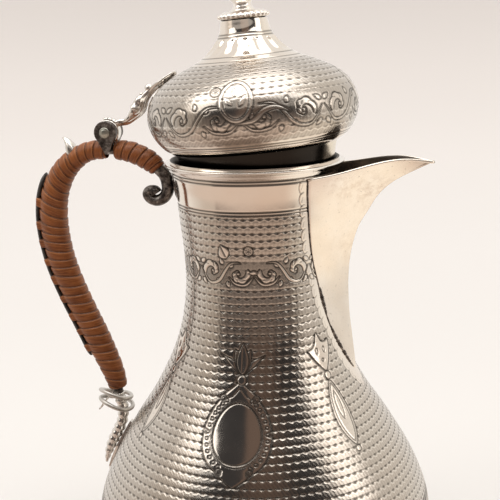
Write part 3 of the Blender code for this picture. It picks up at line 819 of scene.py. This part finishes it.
def make_body(mats):
    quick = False
    field = Relief(BODY, 480 if quick else 720, 0.36 if quick else 0.26, 0.6 if quick else 0.45,
                   60, RIM)
    z, r, arc, angles, down = field.z, field.radius, field.arc, field.angles, field.down
    leaf_border(field)
    field.ink = 1.12
    scroll_band(field, down(-41), 10.0, 8, 0.16, 1.0)
    for a in (-90, 90):
        medallion(field, math.radians(a), down(-101.2))
    for a in (-90, 90):
        fleur(field, math.radians(a + 0.6), down(-80.6), 1.25)
    for a, flip in ((-33.5, 1), (-146.5, -1), (33.5, -1), (146.5, 1)):
        spindle(field, math.radians(a), down(-83.4), flip)
    for a in (-137.5, 137.5):
        field.line([(math.radians(a), down(h)) for h in np.linspace(-22, -82, 30)], 0.4, 0.8)
    punch(field, math.radians(-84.4), down(-32), 1.9)
    mark = (math.radians(-104), down(-32.6))
    field.cut(field.at(petal(6.0, 5.2, 0.8) + [0, -3], *mark, turn=0.5), 0.1, 1.0, 0.4)
    field.line(field.at([(0.2, -2), (0.5, 2.4)], *mark, turn=0.5), 0.3)
    scroll_band(field, down(-152), 15.0, 12)
    for h in (-143.0, -144.6, -160.0, -161.6, -4.2, -5.5, -16.5, -17.7, -171.0, -172.6):
        field.ring(h)

    # Rows grow from 2.92 to 3.16 mm apart down the neck.
    pitch = 2.92 + 0.24 * bend(RIM - z, 52, 84)
    steps = np.concatenate([[0], np.cumsum(np.diff(arc) / pitch[1:])])
    coordinate = steps - np.interp(down(-19.0), arc, steps)
    h = (z - RIM)[:, None]
    band = np.maximum(shelf(h, -36.0, -36.6, -45.4, -46.0),
                      shelf(h, -142.6, -143.2, -161.4, -162.0))
    keep = bend(h, -18.0, -18.6) * bend(h + RIM, 12.5, 14.0) * (1 - 0.85 * band)
    # The third value marks a painted highlight along the rows' lips.
    wave, pit, crest_highlight = wave_rows(field, coordinate, 3.28, keep)
    dents = sum(
        0.10 * np.sin(k * angles + p) * np.sin(arc[:, None] / w + q)
        for k, p, w, q in ((3, 0.4, 17.0, 1.0), (5, 2.0, 11.0, 0.3), (8, 1.1, 23.0, 2.2)))
    radius = r[:, None] + wave - 0.20 * field.groove + field.swell + 0.45 * dents
    # The wall is open behind the spout, where the strainer plate stands in.
    faces = grid_faces(*radius.shape, True)
    k, i = faces[:, 0] // len(angles), faces[:, 0] % len(angles)
    behind = (np.abs(angles[i]) < math.radians(16)) & (z[k] < 153) & (z[k] > 117)
    # 0.42 is the painted shade on the scroll band's ground, 0.85 that in the pits.
    obj = build("body_engraved", revolve(radius, angles, z[:, None]), faces[~behind],
                mats["engraved"], "pot", field.values(keep, band, 0.42, 0.85 * pit, crest_highlight))
    obj.data.flip_normals()
    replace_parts(obj, "body_shell")
    mouth, foot = BODY[-1], BODY[0]
    inner = [(height, radius - WALL) for height, radius in spline(BODY, 70)[-2::-1]]
    wall = [mouth, (mouth[0], 33.9), *inner, foot]
    lining = turned("body_lining", wall, 144, mats["inside"], "pot")
    make_strainer(mats)


def make_strainer(mats):
    """The part of the wall behind the spout, with its rows of drilled holes."""
    path = spline(BODY, 2000)
    zs, angs = np.linspace(115.5, 154.5, 40)[:, None], np.radians(np.linspace(-17.5, 17.5, 36))
    p = revolve(np.interp(zs, path[:, 0], path[:, 1]), angs, zs)
    plate = solid(build("strainer_plate", p - [0.06, 0, 0], grid_faces(40, 36), mats["silver"],
                        None), 0.75)
    sides, bore, reach = 14, 1.3, 4
    a = np.linspace(0, math.tau, sides, endpoint=False)[:, None]
    points, faces = [], []
    for height, count in ((121, 2), (130, 3), (139, 4), (148, 5)):
        for k in range(count):
            turn = (k - (count - 1) / 2) * math.radians(9.5)
            out = np.array([math.cos(turn), math.sin(turn), 0.0])
            centre = out * np.interp(height, path[:, 0], path[:, 1]) + [0, 0, height]
            ring = centre + bore * (np.cross([0, 0, 1.0], out) * np.cos(a)
                                    + np.array([0, 0, 1.0]) * np.sin(a))
            base, each = len(points), range(sides)
            points += [*(ring - reach * out), *(ring + reach * out)]
            faces += (grid_faces(2, sides, True) + base).tolist()
            faces += [[base + i for i in each[::-1]], [base + sides + i for i in each]]
    mesh = bpy.data.meshes.new("drills")
    mesh.from_pydata([tuple(q * MM) for q in points], [], faces)
    drills = link("drills", mesh)
    step = plate.modifiers.new("holes", "BOOLEAN")
    step.solver = "EXACT"
    step.object = drills
    bpy.context.view_layer.update()
    graph = bpy.context.evaluated_depsgraph_get()
    done = bpy.data.meshes.new_from_object(plate.evaluated_get(graph))
    plate.modifiers.clear()
    plate.data = done
    bpy.data.objects.remove(drills, do_unlink=True)
    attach(plate, "pot")


def make_collar(mats):
    lip = spline([
        (RIM - 3.6, 34.2), (RIM - 3.7, 35.0), (RIM - 3.2, 35.45), (RIM - 2.1, 35.95),
        (RIM - 1.4, 36.55), (RIM - 0.95, 36.85), (RIM - 0.5, 36.8), (RIM - 0.25, 36.2),
        (RIM - 0.4, 35.2), (RIM - 0.7, 34.0),
    ], 34)[::-1]
    obj = turned("rim_lip", lip, 360, mats["silver"], "pot", closed=True)
    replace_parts(obj, "rim_collar")
    foot = spline([
        (6.3, 55.0), (6.1, 56.4), (5.0, 56.2), (4.2, 56.8), (3.0, 58.2), (1.9, 59.2), (0.8, 59.1),
        (0.15, 58.2), (0.0, 57.0), (0.0, 52.8), (3.0, 52.7), (6.0, 52.8),
    ], 60)
    low = turned("foot_moulding", np.maximum(foot, 0), 300, mats["silver"], "pot", closed=True)
    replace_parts(low, "foot_ring")


def spout_points(levels, shares):
    """Points of the beak's outside at levels 0 to 1 up it, and shares from seam to keel."""
    height, angle, keel, keel_height = sample(
        spline(SPOUT, 400), np.linspace(0, 1, 400), levels).T[..., None]
    path = spline(BODY, 2000)
    r, a = np.interp(height, path[:, 0], path[:, 1]) + 0.12, np.radians(angle)
    # h follows the table's rows, as the crest and the fullness of the section do.
    h = np.interp(height, [row[0] for row in SPOUT], np.linspace(0.1, 1, len(SPOUT)))
    s = np.abs(shares)[None]
    x = r * np.cos(a) + (keel - r * np.cos(a)) * s
    y = r * np.sin(a) * (1 - s) ** (0.9 + 0.22 * h)
    z = height + (keel_height - height) * s + 2.6 * h ** 6 * np.sin(math.pi * s ** 1.7) ** 1.2
    return np.stack([x, y * np.sign(shares)[None], z], -1)


def make_spout(mats):
    t = np.linspace(0, 1, 41)
    half = 1 - (1 - t) ** 1.25
    near = np.maximum(half, 1e-6)
    shares = np.concatenate([-near, near[::-1][1:]])
    p = spout_points(np.linspace(0, 1, 130), shares)
    dent = 0.16 * np.sin(p[..., 2] / 5.1 + 1.3 * p[..., 1] / 6) * np.sin(p[..., 0] / 4.3 + 0.6)
    p[..., 0] += dent * np.sin(math.pi * np.concatenate([half, half[::-1][1:]])).clip(0, 1)
    stain = sum(np.exp(-((p[..., 0] - x) / w) ** 2 - ((p[..., 2] - z) / w) ** 2) * k
                for x, z, w, k in (
                    (58.0, 161.0, 7.0, 1.0), (50.0, 172.0, 8.0, 0.5), (70.5, 180.0, 3.5, 0.7),
                    (46.0, 150.0, 9.0, 0.45), (38.0, 176.0, 6.0, 0.35)))
    obj = build("beak", p, grid_faces(*p.shape[:2]), mats["spout"], "pot",
                {"stain": np.clip(stain, 0, 1)})
    solid(obj, WALL, inside=mats["inside"])
    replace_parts(obj, "spout_beak")
    # Solder along the seam, and a small roll on the lip.
    swell = 0.52 * np.sin(np.linspace(0.15, math.pi - 0.15, 90)) ** 0.5
    for sign, tag in ((-1, "near"), (1, "far")):
        seam = spout_points(np.linspace(0.012, 1, 150), np.array([1e-6 * sign]))[:, 0]
        rope("seam_line_" + tag, seam, 0.27, mats["solder"], "pot", 8, 0.2)
        for part, (low, high) in enumerate(((0.02, 0.26), (0.33, 0.47))):
            bead = spout_points(np.linspace(low, high, 90), np.array([0.025 * sign]))[:, 0]
            rope(f"seam_solder_{tag}_{part}", bead, swell, mats["solder"], "pot", 8, 0.55)
    lip = p[-1]
    tip = np.exp(-((lip[:, 0].max() - lip[:, 0]) / 6.0) ** 2)
    rope("beak_lip", lip, 0.50 + 0.16 * tip, mats["spout"], "pot", 12)


# ---------------------------------------------------------------- the lid

def make_lid(mats):
    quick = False
    field = Relief([(h + LID_EDGE, r) for h, r in LID], 400 if quick else 600,
                   0.3 if quick else 0.24, 0.3, LID_EDGE, LID_EDGE)
    angles, down = field.angles, field.down
    field.ink = 1.25
    scroll_band(field, down(14.6), 11.0, 8, 0.10, 0.5)
    vine = [(-1.0, -9.2), (5.5, -8.6), (10.0, -5.2), (14.5, -4.4), (19.0, -6.5)]
    for a in (-86, 94, 4, -176):
        spot = (math.radians(a), down(21.5))
        stroke(field, *spot, vine, 2.0, 1, 0.6)
        for rx, ry, lift, bare in ((6.6, 9.0, 0.12, 0.8), (5.0, 7.3, -0.02, 0.5)):
            field.cut(field.at(ellipse(rx, ry), *spot), lift, bare, 0.36, 0.9, closed=True)
        for x, y, turn, size in ((-1.4, -2.6, 0.7, 5.0), (1.2, -3.2, -0.5, 5.6),
                                 (-0.2, 0.8, 0.1, 4.6)):
            leaf = rotated(petal(size, 1.9), turn) + [x, y]
            field.cut(field.at(leaf, *spot), 0.06, 1.0, 0.26, 0.7)
    punch(field, math.radians(-97.5), down(24.6), 2.1)
    for h in (2.6, 3.6, 34.6, 36.2, 43.5, 44.6):
        field.ring(h, 0.36, 0.8)
    h = field.z[:, None] - LID_EDGE
    band = shelf(h, 12.6, 13.2, 21.4, 22.0)
    keep = shelf(h, 4.4, 5.0, 33.4, 34.0) * (1 - 0.85 * band)
    # The third value marks a painted highlight along the rows' lips.
    wave, pit, crest_highlight = wave_rows(field, (field.arc - down(22.0)) / 3.0, 3.6, keep)
    soft = 0.45 + 0.55 * bend(h, 20, 24)
    lobes = 0.35 * np.cos(angles * 16) * shelf(h, 36.5, 38.5, 42, 43.4)
    lift = wave * soft - 0.18 * field.groove + field.swell + lobes
    p = revolve(field.radius[:, None] + 0.9 * lift, angles, field.z[:, None] + 0.25 * lift)
    # 0.22 is the painted shade on the scroll band's ground, 0.75 that in the pits.
    obj = build("lid_engraved", lid_place(p), grid_faces(*lift.shape, True), mats["engraved"],
                "lid", field.values(keep, band, 0.22, 0.75 * pit * soft, crest_highlight))
    obj.data.flip_normals()
    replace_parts(obj, "lid_dome")
    inner = spline([(h + LID_EDGE, r - 0.9) for h, r in LID[:-1]] + [(LID_TOP - 0.9, 2.0)], 60)
    edge = [(LID_EDGE, 33.9), (LID_EDGE - 0.1, 34.4), (LID_EDGE, 34.8)]
    turned("lid_lining", np.vstack([inner[::-1], edge]), 144, mats["silver"], "lid", lid_place)
    bezel = spline([
        (LID_EDGE + 1.8, 33.0), (LID_EDGE, 33.0), (LID_EDGE - 3.4, 32.2), (LID_EDGE - 6.8, 31.5),
        (LID_EDGE - 7.1, 31.1), (LID_EDGE - 6.8, 30.7), (LID_EDGE - 3.0, 31.4),
        (LID_EDGE + 1.8, 32.2),
    ], 40)
    # The bezel's stain value is the painted-shade mask: 0 on the lit strip opposite the hinge, 1
    # where the bezel lies in shadow.
    a = np.abs(np.linspace(0, math.tau, 240, endpoint=False) - math.pi) + np.zeros((40, 1))
    ring = turned("bezel_ring", bezel, 240, mats["bezel"], "lid", lid_place, closed=True,
                  values={"stain": bend(a, 0.30, 0.46)})
    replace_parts(ring, "lid_bezel")


def make_finial(mats):
    def over(points):
        """Heights above the top of the lid, to heights in the row frame."""
        return [(LID_TOP + h, r) for h, r in points]

    def beading(z, a):
        return 0.35 * np.cos(a * 28) * shelf(z - LID_TOP, 0.4, 1.2, 2.0, 2.8)

    def fluting(z, a):
        flutes = np.abs(np.sin(a * 6)) ** 0.6 * shelf(z - LID_TOP, 8.5, 11, 18, 22)
        return 0.2 - 0.45 * flutes

    collar = spline(over(
        [(3.5, 3.0), (3.5, 7.2), (2.6, 9.4), (1.5, 10.3), (0.5, 9.6), (0.1, 8.4)]), 34)
    beads = turned("finial_beading", collar, 240, mats["silver"], "lid", lid_place, beading)
    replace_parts(beads, "finial_collar")
    bud = spline(over([
        (28.2, 0.02), (27.6, 1.3), (25.8, 2.0), (23.8, 1.8), (21.2, 2.7), (18.2, 5.0),
        (15.2, 7.3), (12.4, 7.9), (9.6, 6.6), (7.4, 4.0), (5.6, 3.4), (3.7, 4.6), (3.4, 4.4),
    ]), 110)
    knob = turned("finial_fluted", bud, 200, mats["silver"], "lid", lid_place, fluting)
    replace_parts(knob, "finial_bud")


def make_arm(mats):
    """Cast arm of the lid: a twisted strap that opens into a veined leaf, a ball, and a strap
    up the dome."""
    rows = spline(ARM, 150)

    def shape(s, a, u, v):
        f = s / s[-1]
        leafy = np.exp(-((f - 0.40) / 0.15) ** 2)
        wide = 1.65 + 3.6 * leafy + 1.5 * shelf(f, 0.60, 0.80, 0.86, 1.0) - 0.5 * bend(f, 0.0, 0.1)
        side = np.sin(a)
        lobes = 1 + 0.10 * np.cos(f * 50) * leafy
        across = np.sign(side) * np.abs(side) ** 0.9 * wide * lobes * 1.1
        thick = (0.80 + 0.55 * leafy) * np.clip(rows[:, 2], 0.7, 2)[:, None]
        veins = 0.28 * np.cos(np.abs(across) * 3.1) * (0.3 + 0.7 * leafy)
        ridge = 0.5 * np.exp(-(across / 0.6) ** 2) + veins
        up = thick * np.cos(a) + ridge * np.clip(np.cos(a), 0, 1)
        return up - 0.10 * across ** 2 / np.maximum(wide, 1), across

    arm = sweep("arm_leaf", rows, 56, mats["cast"], "lid", place=lid_arm_place, shape=shape)
    knuckle = spline([(2.15, 1.75), (2.2, 4.3), (1.9, 5.0), (0, 5.15), (-1.9, 5.0), (-2.2, 4.3),
                      (-2.15, 1.75)], 30)
    turned("hinge_knuckle", knuckle, 80, mats["cast"], "lid", hinge_place, closed=True)
    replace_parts(arm, "lid_arm")
    t = np.linspace(0, math.pi, 16)
    for k, (d, h, y, r) in enumerate(
            ((42.4, 27.8, 0.0, 1.9), (45.4, 25.6, -1.9, 0.9), (45.4, 25.6, 1.9, 0.9))):
        ball = np.stack([r * np.cos(t), np.maximum(r * np.sin(t), 0.01)], 1)
        turned(f"arm_bead_{k}", ball, 24, mats["cast"], "lid",
               lambda p, at=(-d, y, RIM + h): lid_arm_place(p + np.array(at)))
    # Petals curled over the knuckle.
    t, u = np.linspace(0, 1, 16)[:, None], np.linspace(-1, 1, 11)
    for k, (turn, size) in enumerate(((98, 0.9), (76, 1.1), (54, 1.0))):
        ang = np.radians(turn + 26 * (t - 0.5)) + 0 * u
        wide = 1.9 * size * np.sin(math.pi * (0.12 + 0.8 * t)) ** 0.7 * u
        rad = 5.25 + 0.7 * (1 - u ** 2) * np.sin(math.pi * t) + 0.55 * t ** 3
        p = np.stack([HINGE[0] + rad * np.cos(ang), wide, HINGE[1] + rad * np.sin(ang)], -1)
        solid(build(f"knuckle_petal_{k}", p, grid_faces(16, 11), mats["cast"], "lid"), 0.5, 0.0)


def make_hinge(mats):
    """Cheek plates with softened edges, and the riveted pin."""
    turns = [math.radians(a) for a in range(-35, 216, 6)]
    outline = [(4.8 * math.cos(a), 4.8 * math.sin(a)) for a in turns] + [
        (-2.9, -4.4), (-1.5, -7.2), (-0.3, -9.0), (0.6, -9.1), (1.5, -8.0), (3.1, -4.4)]
    for tag, y in (("near", -3.75), ("far", 3.75)):
        curve = bpy.data.curves.new("cheek_" + tag, "CURVE")
        curve.dimensions = "2D"
        curve.fill_mode = "BOTH"
        curve.extrude = 0.95 * MM
        curve.bevel_depth = 0.3 * MM
        curve.bevel_resolution = 2
        curve.offset = -0.3 * MM
        line = curve.splines.new("POLY")
        line.points.add(len(outline) - 1)
        line.use_cyclic_u = True
        for point, (x, z) in zip(line.points, outline):
            point.co = (x * MM, z * MM, 0, 1)
        obj = link("cheek_" + tag, curve, mats["oxide"])
        obj.rotation_euler.x = math.radians(90)
        obj.location = (HINGE[0] * MM, y * MM, HINGE[1] * MM)
        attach(obj, "pot")
        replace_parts(obj, "hinge_ear_" + tag)
    half = [(6.15, 0.02), (6.1, 0.9), (5.9, 1.5), (5.75, 1.7), (5.8, 1.9), (5.7, 2.15), (5.3, 2.3),
            (5.05, 2.2), (5.0, 1.6)]
    pin = half + [(-z, r) for z, r in half[::-1]]
    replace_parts(turned("riveted_pin", pin, 48, mats["pin"], "pot", hinge_place), "hinge_pin")


# ---------------------------------------------------------------- the handle

def grip_path():
    """(distance, height, radius) rows of the grip, run on towards the volute under the first
    laps, and their arc length from the table's first row."""
    whole = spline([(40.2, -5.6, 3.3), (42.4, -3.2, 4.0)] + GRIP, 2600)
    arc = run(whole[:, :2])
    return whole, arc - arc[np.argmin(np.linalg.norm(whole[:, :2] - GRIP[0][:2], axis=1))]


def lapped(name, start, stop, mats, pitch=3.9, slip=None, lean=0.8, sides=96):
    """Cane wound in tilted laps round the grip from start to stop along its centre line. slip
    is (start, stop) of the black slip, which every second lap crosses."""
    whole, arc = grip_path()
    stop = min(stop, arc[-1])
    s = np.arange(start, stop, 0.16)[:, None]
    rows = sample(whole, arc, s[:, 0])
    a = np.linspace(0, math.tau, sides, endpoint=False)
    phase = (s + 0.55 * np.sin(s / 6.1) + 0.35 * np.sin(s / 2.3 + 1) + lean * np.cos(a)) / pitch
    lap = np.floor(phase)
    f = phase - lap
    jitter = np.sin(lap * 12.9898) * 0.5
    height = (1 - np.abs(2 * f - 1) ** 5) * (0.62 - 0.30 * f) + 0.06 * jitter
    r = rows[:, 2][:, None] - 0.42 + height * shelf(s, start, start + 0.8, stop - 0.8, stop)
    if slip:
        odd = (np.mod(lap, 2) == 0) * (s > slip[0] - 1) * (s < slip[1] + 1)
        around = np.abs(np.mod(a + math.pi, math.tau) - math.pi)
        over = odd * (1 - bend(around, math.radians(24), math.radians(44)))
        r = r + 1.75 * over * (1 - np.abs(2 * f - 1) ** 8)
    c, out = handle_frame(rows)
    p = c + out * (r * np.cos(a))[..., None] + SIDE * (r * np.sin(a))[..., None]
    lay = np.stack([a * 5.0 + 0 * f, f, lap], -1)
    return build(name, p, grid_faces(*f.shape, True), mats["cane"], "pot", {"lay": lay})


def make_handle(mats):
    neck = lapped("cane_laps_neck", -5.2, 15.4, mats)
    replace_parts(neck, "cane_wrap_neck")
    arch = lapped("cane_laps_arch", 19.4, 36.9, mats)
    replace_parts(arch, "cane_wrap_arch")
    grip = lapped("cane_laps_grip", 36.1, 999, mats, 4.1, (57.0, 127.0), 1.9)
    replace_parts(grip, "cane_wrap_grip")
    # The core is slimmer where it passes between the hinge's cheeks.
    core = [(d, h - 0.2 * (abs(d + HINGE[0]) < 4), 2.4 - 0.5 * (abs(d + HINGE[0]) < 4))
            for d, h, _ in GRIP]
    rows = spline(VOLUTE + core + [(65.2, -104.6, 2.4)], 420)
    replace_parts(sweep("core_scroll", rows, 28, mats["oxide"], "pot"), "handle_core")
    horn = sweep("thumb_horn", spline(SPUR, 40), 28, mats["cast"], "pot", 1.35)
    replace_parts(horn, "thumb_spur")
    # Black slip, slightly crowned, with rounded ends.
    s = np.linspace(*SLIP, 260)
    rows = sample(*grip_path(), s)
    c, out = handle_frame(rows)
    a = np.linspace(0, math.tau, 28, endpoint=False)
    end = (np.clip(np.minimum(s - SLIP[0], SLIP[1] - s) / 3.0, 0, 1) ** 0.5)[:, None]
    y = (3.0 * end + 0.05) * np.sign(np.cos(a)) * np.abs(np.cos(a)) ** 0.6
    u = (0.85 * end + 0.05) * np.sign(np.sin(a)) * np.abs(np.sin(a)) ** 0.7
    base = np.sqrt(np.maximum((rows[:, 2][:, None] + 0.1) ** 2 - y ** 2, 1)) + 1.0
    p = c + out * (base + u)[..., None] + SIDE * y[..., None]
    strip = build("slip_strip", p, grid_faces(*y.shape, True), mats["black"], "pot")
    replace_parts(strip, "black_slip")


def make_fixings(mats):
    def knurled(s, a, u, v):
        knurl = 1 + 0.10 * np.cos(s * 1.9)
        return u * knurl, v * knurl

    stem = sweep("bracket_stem", spline(BRACKET, 80), 32, mats["cast"], "pot", 1.2, shape=knurled)
    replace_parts(stem, "handle_bracket")
    t, u = np.linspace(0, 1, 40)[:, None], np.linspace(-1, 1, 21)
    spine = spline([(67.2, -105.0), (69.6, -107.2), (71.8, -109.8), (73.4, -112.2),
                    (74.6, -113.4)], 40)
    y = 3.3 * np.sin(math.pi * (0.10 + 0.86 * t)) ** 0.8 * (1 + 0.12 * np.cos(t * 30)) * u
    cup = 0.10 * y ** 2 + 0.22 * np.cos(np.abs(u) * 5 + t * 26) + 0.35 * np.exp(-(u / 0.12) ** 2)
    p = np.stack([0.55 * cup - spine[:, :1], y, RIM + spine[:, 1:] + 0.65 * cup], -1)
    leaf = solid(build("acanthus_tip", p, grid_faces(40, 21), mats["cast"], "pot"), 0.7, 0.0)
    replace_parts(leaf, "bracket_leaf")
    a = np.linspace(0, math.tau, 90, endpoint=False)
    for name, z, long, wide, roll, lift, node in (
        ("wire_bound_upper", -105.6, 7.0, 6.4, 12, 14, "binding_wire_upper"),
        ("wire_bound_lower", -109.8, 7.4, 6.7, 16, 4, "binding_wire_lower"),
    ):
        turn = (Matrix.Rotation(math.radians(roll), 3, "Y")
                @ Matrix.Rotation(math.radians(-lift), 3, "X"))
        loop = np.stack([np.cos(a) * long, np.sin(a) * wide, 0.5 * np.sin(2 * a)], 1)
        points = loop @ np.array(turn).T + [-66.4, 0, RIM + z]
        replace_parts(rope(name, points, 0.92, mats["wire"], "pot", 14, closed=True), node)


def dress_cad(mats):
    """Better materials on the CAD nodes whose shapes are right."""
    use = {"base_plate": "silver", "finial_washer": "silver", "lid_arm_pad": "cast",
           "handle_pad_upper": "oxide", "handle_pad_lower": "cast"}
    for name, key in use.items():
        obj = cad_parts[name]
        if not obj.data.materials:
            obj.data.materials.append(mats[key])
        for item in obj.material_slots:
            item.link = "OBJECT"
            item.material = mats[key]


# ---------------------------------------------------------------- stage

def make_camera():
    turn = Matrix.Rotation(math.radians(12.5), 3, "Z")
    pitch, roll, far = math.radians(13.07), math.radians(1.77), 0.4293
    right = turn @ Vector((1, 0, 0))
    ahead = turn @ Vector((0, math.cos(pitch), -math.sin(pitch)))
    above = turn @ Vector((0, math.sin(pitch), math.cos(pitch)))
    middle = turn @ Vector((-2.99 * MM, 0, -38.5 * MM)) + Vector((0, 0, RIM * MM))
    x = right * math.cos(roll) - above * math.sin(roll)
    y = right * math.sin(roll) + above * math.cos(roll)
    data = bpy.data.cameras.new("camera")
    data.lens, data.sensor_width = 73.78, 36.0
    data.clip_start, data.clip_end = 0.01, 20
    camera = link("camera", data)
    basis = Matrix((x, y, -ahead)).transposed().to_4x4()
    camera.matrix_world = Matrix.Translation(middle - ahead * far) @ basis
    bpy.context.scene.camera = camera


def make_world():
    """Soft studio round the pot: a bright tent with a darker opening on the viewing side."""
    world = bpy.data.worlds.new("studio")
    bpy.context.scene.world = world
    world.use_nodes = True
    world.node_tree.nodes.clear()
    n = Nodes(world.node_tree)
    spin = n.put("Mapping", Vector=n.put("TexCoord").outputs["Generated"],
                 Rotation=(0, 0, math.radians(-12.5)))
    x, y, z = n.put("SeparateXYZ", Vector=spin.outputs[0]).outputs
    azimuth = n.math("ARCTAN2", x, n.times(y, -1.0))  # 0 to the viewer, + to the right
    at = n.plus(n.math("DIVIDE", azimuth, math.tau), 0.5)
    height = n.plus(n.times(z, 0.5), 0.5)

    def compass(*stops, ease=True):
        """A ramp over the azimuth, with stops in degrees."""
        return n.ramp(at, [(degrees / 360 + 0.5, colour) for degrees, colour in stops], ease)

    def level(*stops):
        return n.ramp(height, stops, True)

    black, dark, brown = (0, 0, 0), (0.045, 0.042, 0.042), (0.155, 0.108, 0.085)
    seen = compass(
        (-180, (0.95, 0.91, 0.87)), (-110, (1.0, 0.95, 0.89)), (-80, (0.68, 0.60, 0.52)),
        (-64, (0.62, 0.54, 0.46)), (-60, dark), (-21, dark), (-16, brown), (17, brown), (22, dark),
        (57, dark), (61, (0.55, 0.49, 0.42)), (72, (0.78, 0.71, 0.64)), (110, (1.05, 0.99, 0.90)),
        (180, (0.95, 0.91, 0.87)), ease=False)
    # Haze low in the opening, a bright ceiling, and the table with the pot's own shade on it.
    front = compass((-62, 0), (-58, 1), (55, 1), (59, 0))
    haze = n.mix(front, black, level((0.40, 1), (0.49, 0.75), (0.60, 0)))
    seen = n.mix(haze, seen, (0.27, 0.22, 0.19))
    seen = n.mix(level((0.0, 0), (0.935, 0), (0.962, 1)), seen, (1.75, 1.66, 1.55))
    ground = compass((-180, (0.85, 0.78, 0.72)), (-30, (0.80, 0.63, 0.52)),
                     (40, (0.82, 0.64, 0.52)), (75, (1.12, 1.0, 0.85)), (180, (0.95, 0.86, 0.78)))
    seen = n.mix(level((0.0, 1), (0.295, 1), (0.345, 0)), seen, ground)
    near = compass((-95, 0), (-65, 1), (28, 1), (44, 0))
    under = n.mix(near, black, level((0.0, 1), (0.06, 0.9), (0.15, 0)))
    seen = n.mix(under, seen, (0.27, 0.19, 0.145))
    background = n.mix(level((0.45, 0), (0.62, 1)), (0.90, 0.83, 0.775), (0.87, 0.80, 0.745))
    colour = n.mix(n.put("LightPath").outputs["Is Camera Ray"], seen, background)
    shader = n.put("Background", Color=colour, Strength=1.0)
    n.put("OutputWorld", Surface=shader.outputs[0])


def lamp(name, place, size, power, colour=LIT, aim=(0, 0, 0.12)):
    data = bpy.data.lights.new(name, "AREA")
    data.shape = "RECTANGLE"
    data.size, data.size_y = size
    data.energy = power
    data.color = colour
    obj = link(name, data)
    obj.location = place
    obj.rotation_euler = (Vector(place) - Vector(aim)).to_track_quat("Z", "Y").to_euler()
    obj.visible_camera = False


def make_stage():
    """A round floor that bends up far behind the pot, and the lamps."""
    a = np.linspace(0, math.tau, 96, endpoint=False)
    t = np.linspace(0, math.pi / 2, 24)
    rings = np.concatenate([[0.0, 300, 900], 1300 + 2300 * np.sin(t), [3600]])[:, None]
    up = np.concatenate([[0, 0, 0], 2300 * (1 - np.cos(t)), [4000]])[:, None] - 0.05
    s = Shade("pale_paper", 0.8, 0.0, (0.9, 0.87, 0.84))
    far = s.put("VectorMath", operation="LENGTH")
    s.feed(far, 0, s.place())
    tone = s.ramp(s.math("DIVIDE", far.outputs["Value"], 2.5), [
        (0.06, (0.73, 0.735, 0.73)), (0.26, (0.83, 0.83, 0.825)), (0.8, (0.99, 0.975, 0.965))])
    s.set(**{"Emission Color": (1.0, 0.84, 0.86), "Emission Strength": 0.09})
    floor = build("floor", revolve(rings, a, up), grid_faces(len(rings), 96, True), s.done(tone),
                  None)
    floor.visible_diffuse = floor.visible_shadow = floor.visible_glossy = False
    lamp("key", (-0.75, -0.55, 0.95), (0.6, 0.8), 2.2)
    lamp("fill", (1.0, -0.15, 0.65), (0.5, 0.8), 1.8, (1.0, 0.95, 0.89))
    # Narrow cards close over the lid, which only the lid's shoulder mirrors.
    over_lid = (-0.02, -0.12, 0.0)
    lamp("lid_card", (-0.02, -0.125, 0.46), (0.62, 0.14), 0.51, aim=over_lid)
    lamp("lid_glow", (-0.02, -0.13, 0.285), (0.5, 0.085), 0.055, (1.0, 0.93, 0.85), over_lid)
    lamp("overhead", (0.1, 0.15, 1.25), (0.9, 0.9), 2.0, (1.0, 0.98, 0.96))


def main():
    mats = make_materials()
    make_body(mats)
    make_collar(mats)
    make_spout(mats)
    make_lid(mats)
    make_finial(mats)
    make_arm(mats)
    make_hinge(mats)
    make_handle(mats)
    make_fixings(mats)
    dress_cad(mats)
    make_camera()
    make_world()
    make_stage()
    scene = bpy.context.scene
    scene.view_settings.view_transform = "Standard"
    scene.view_settings.look = "None"


main()
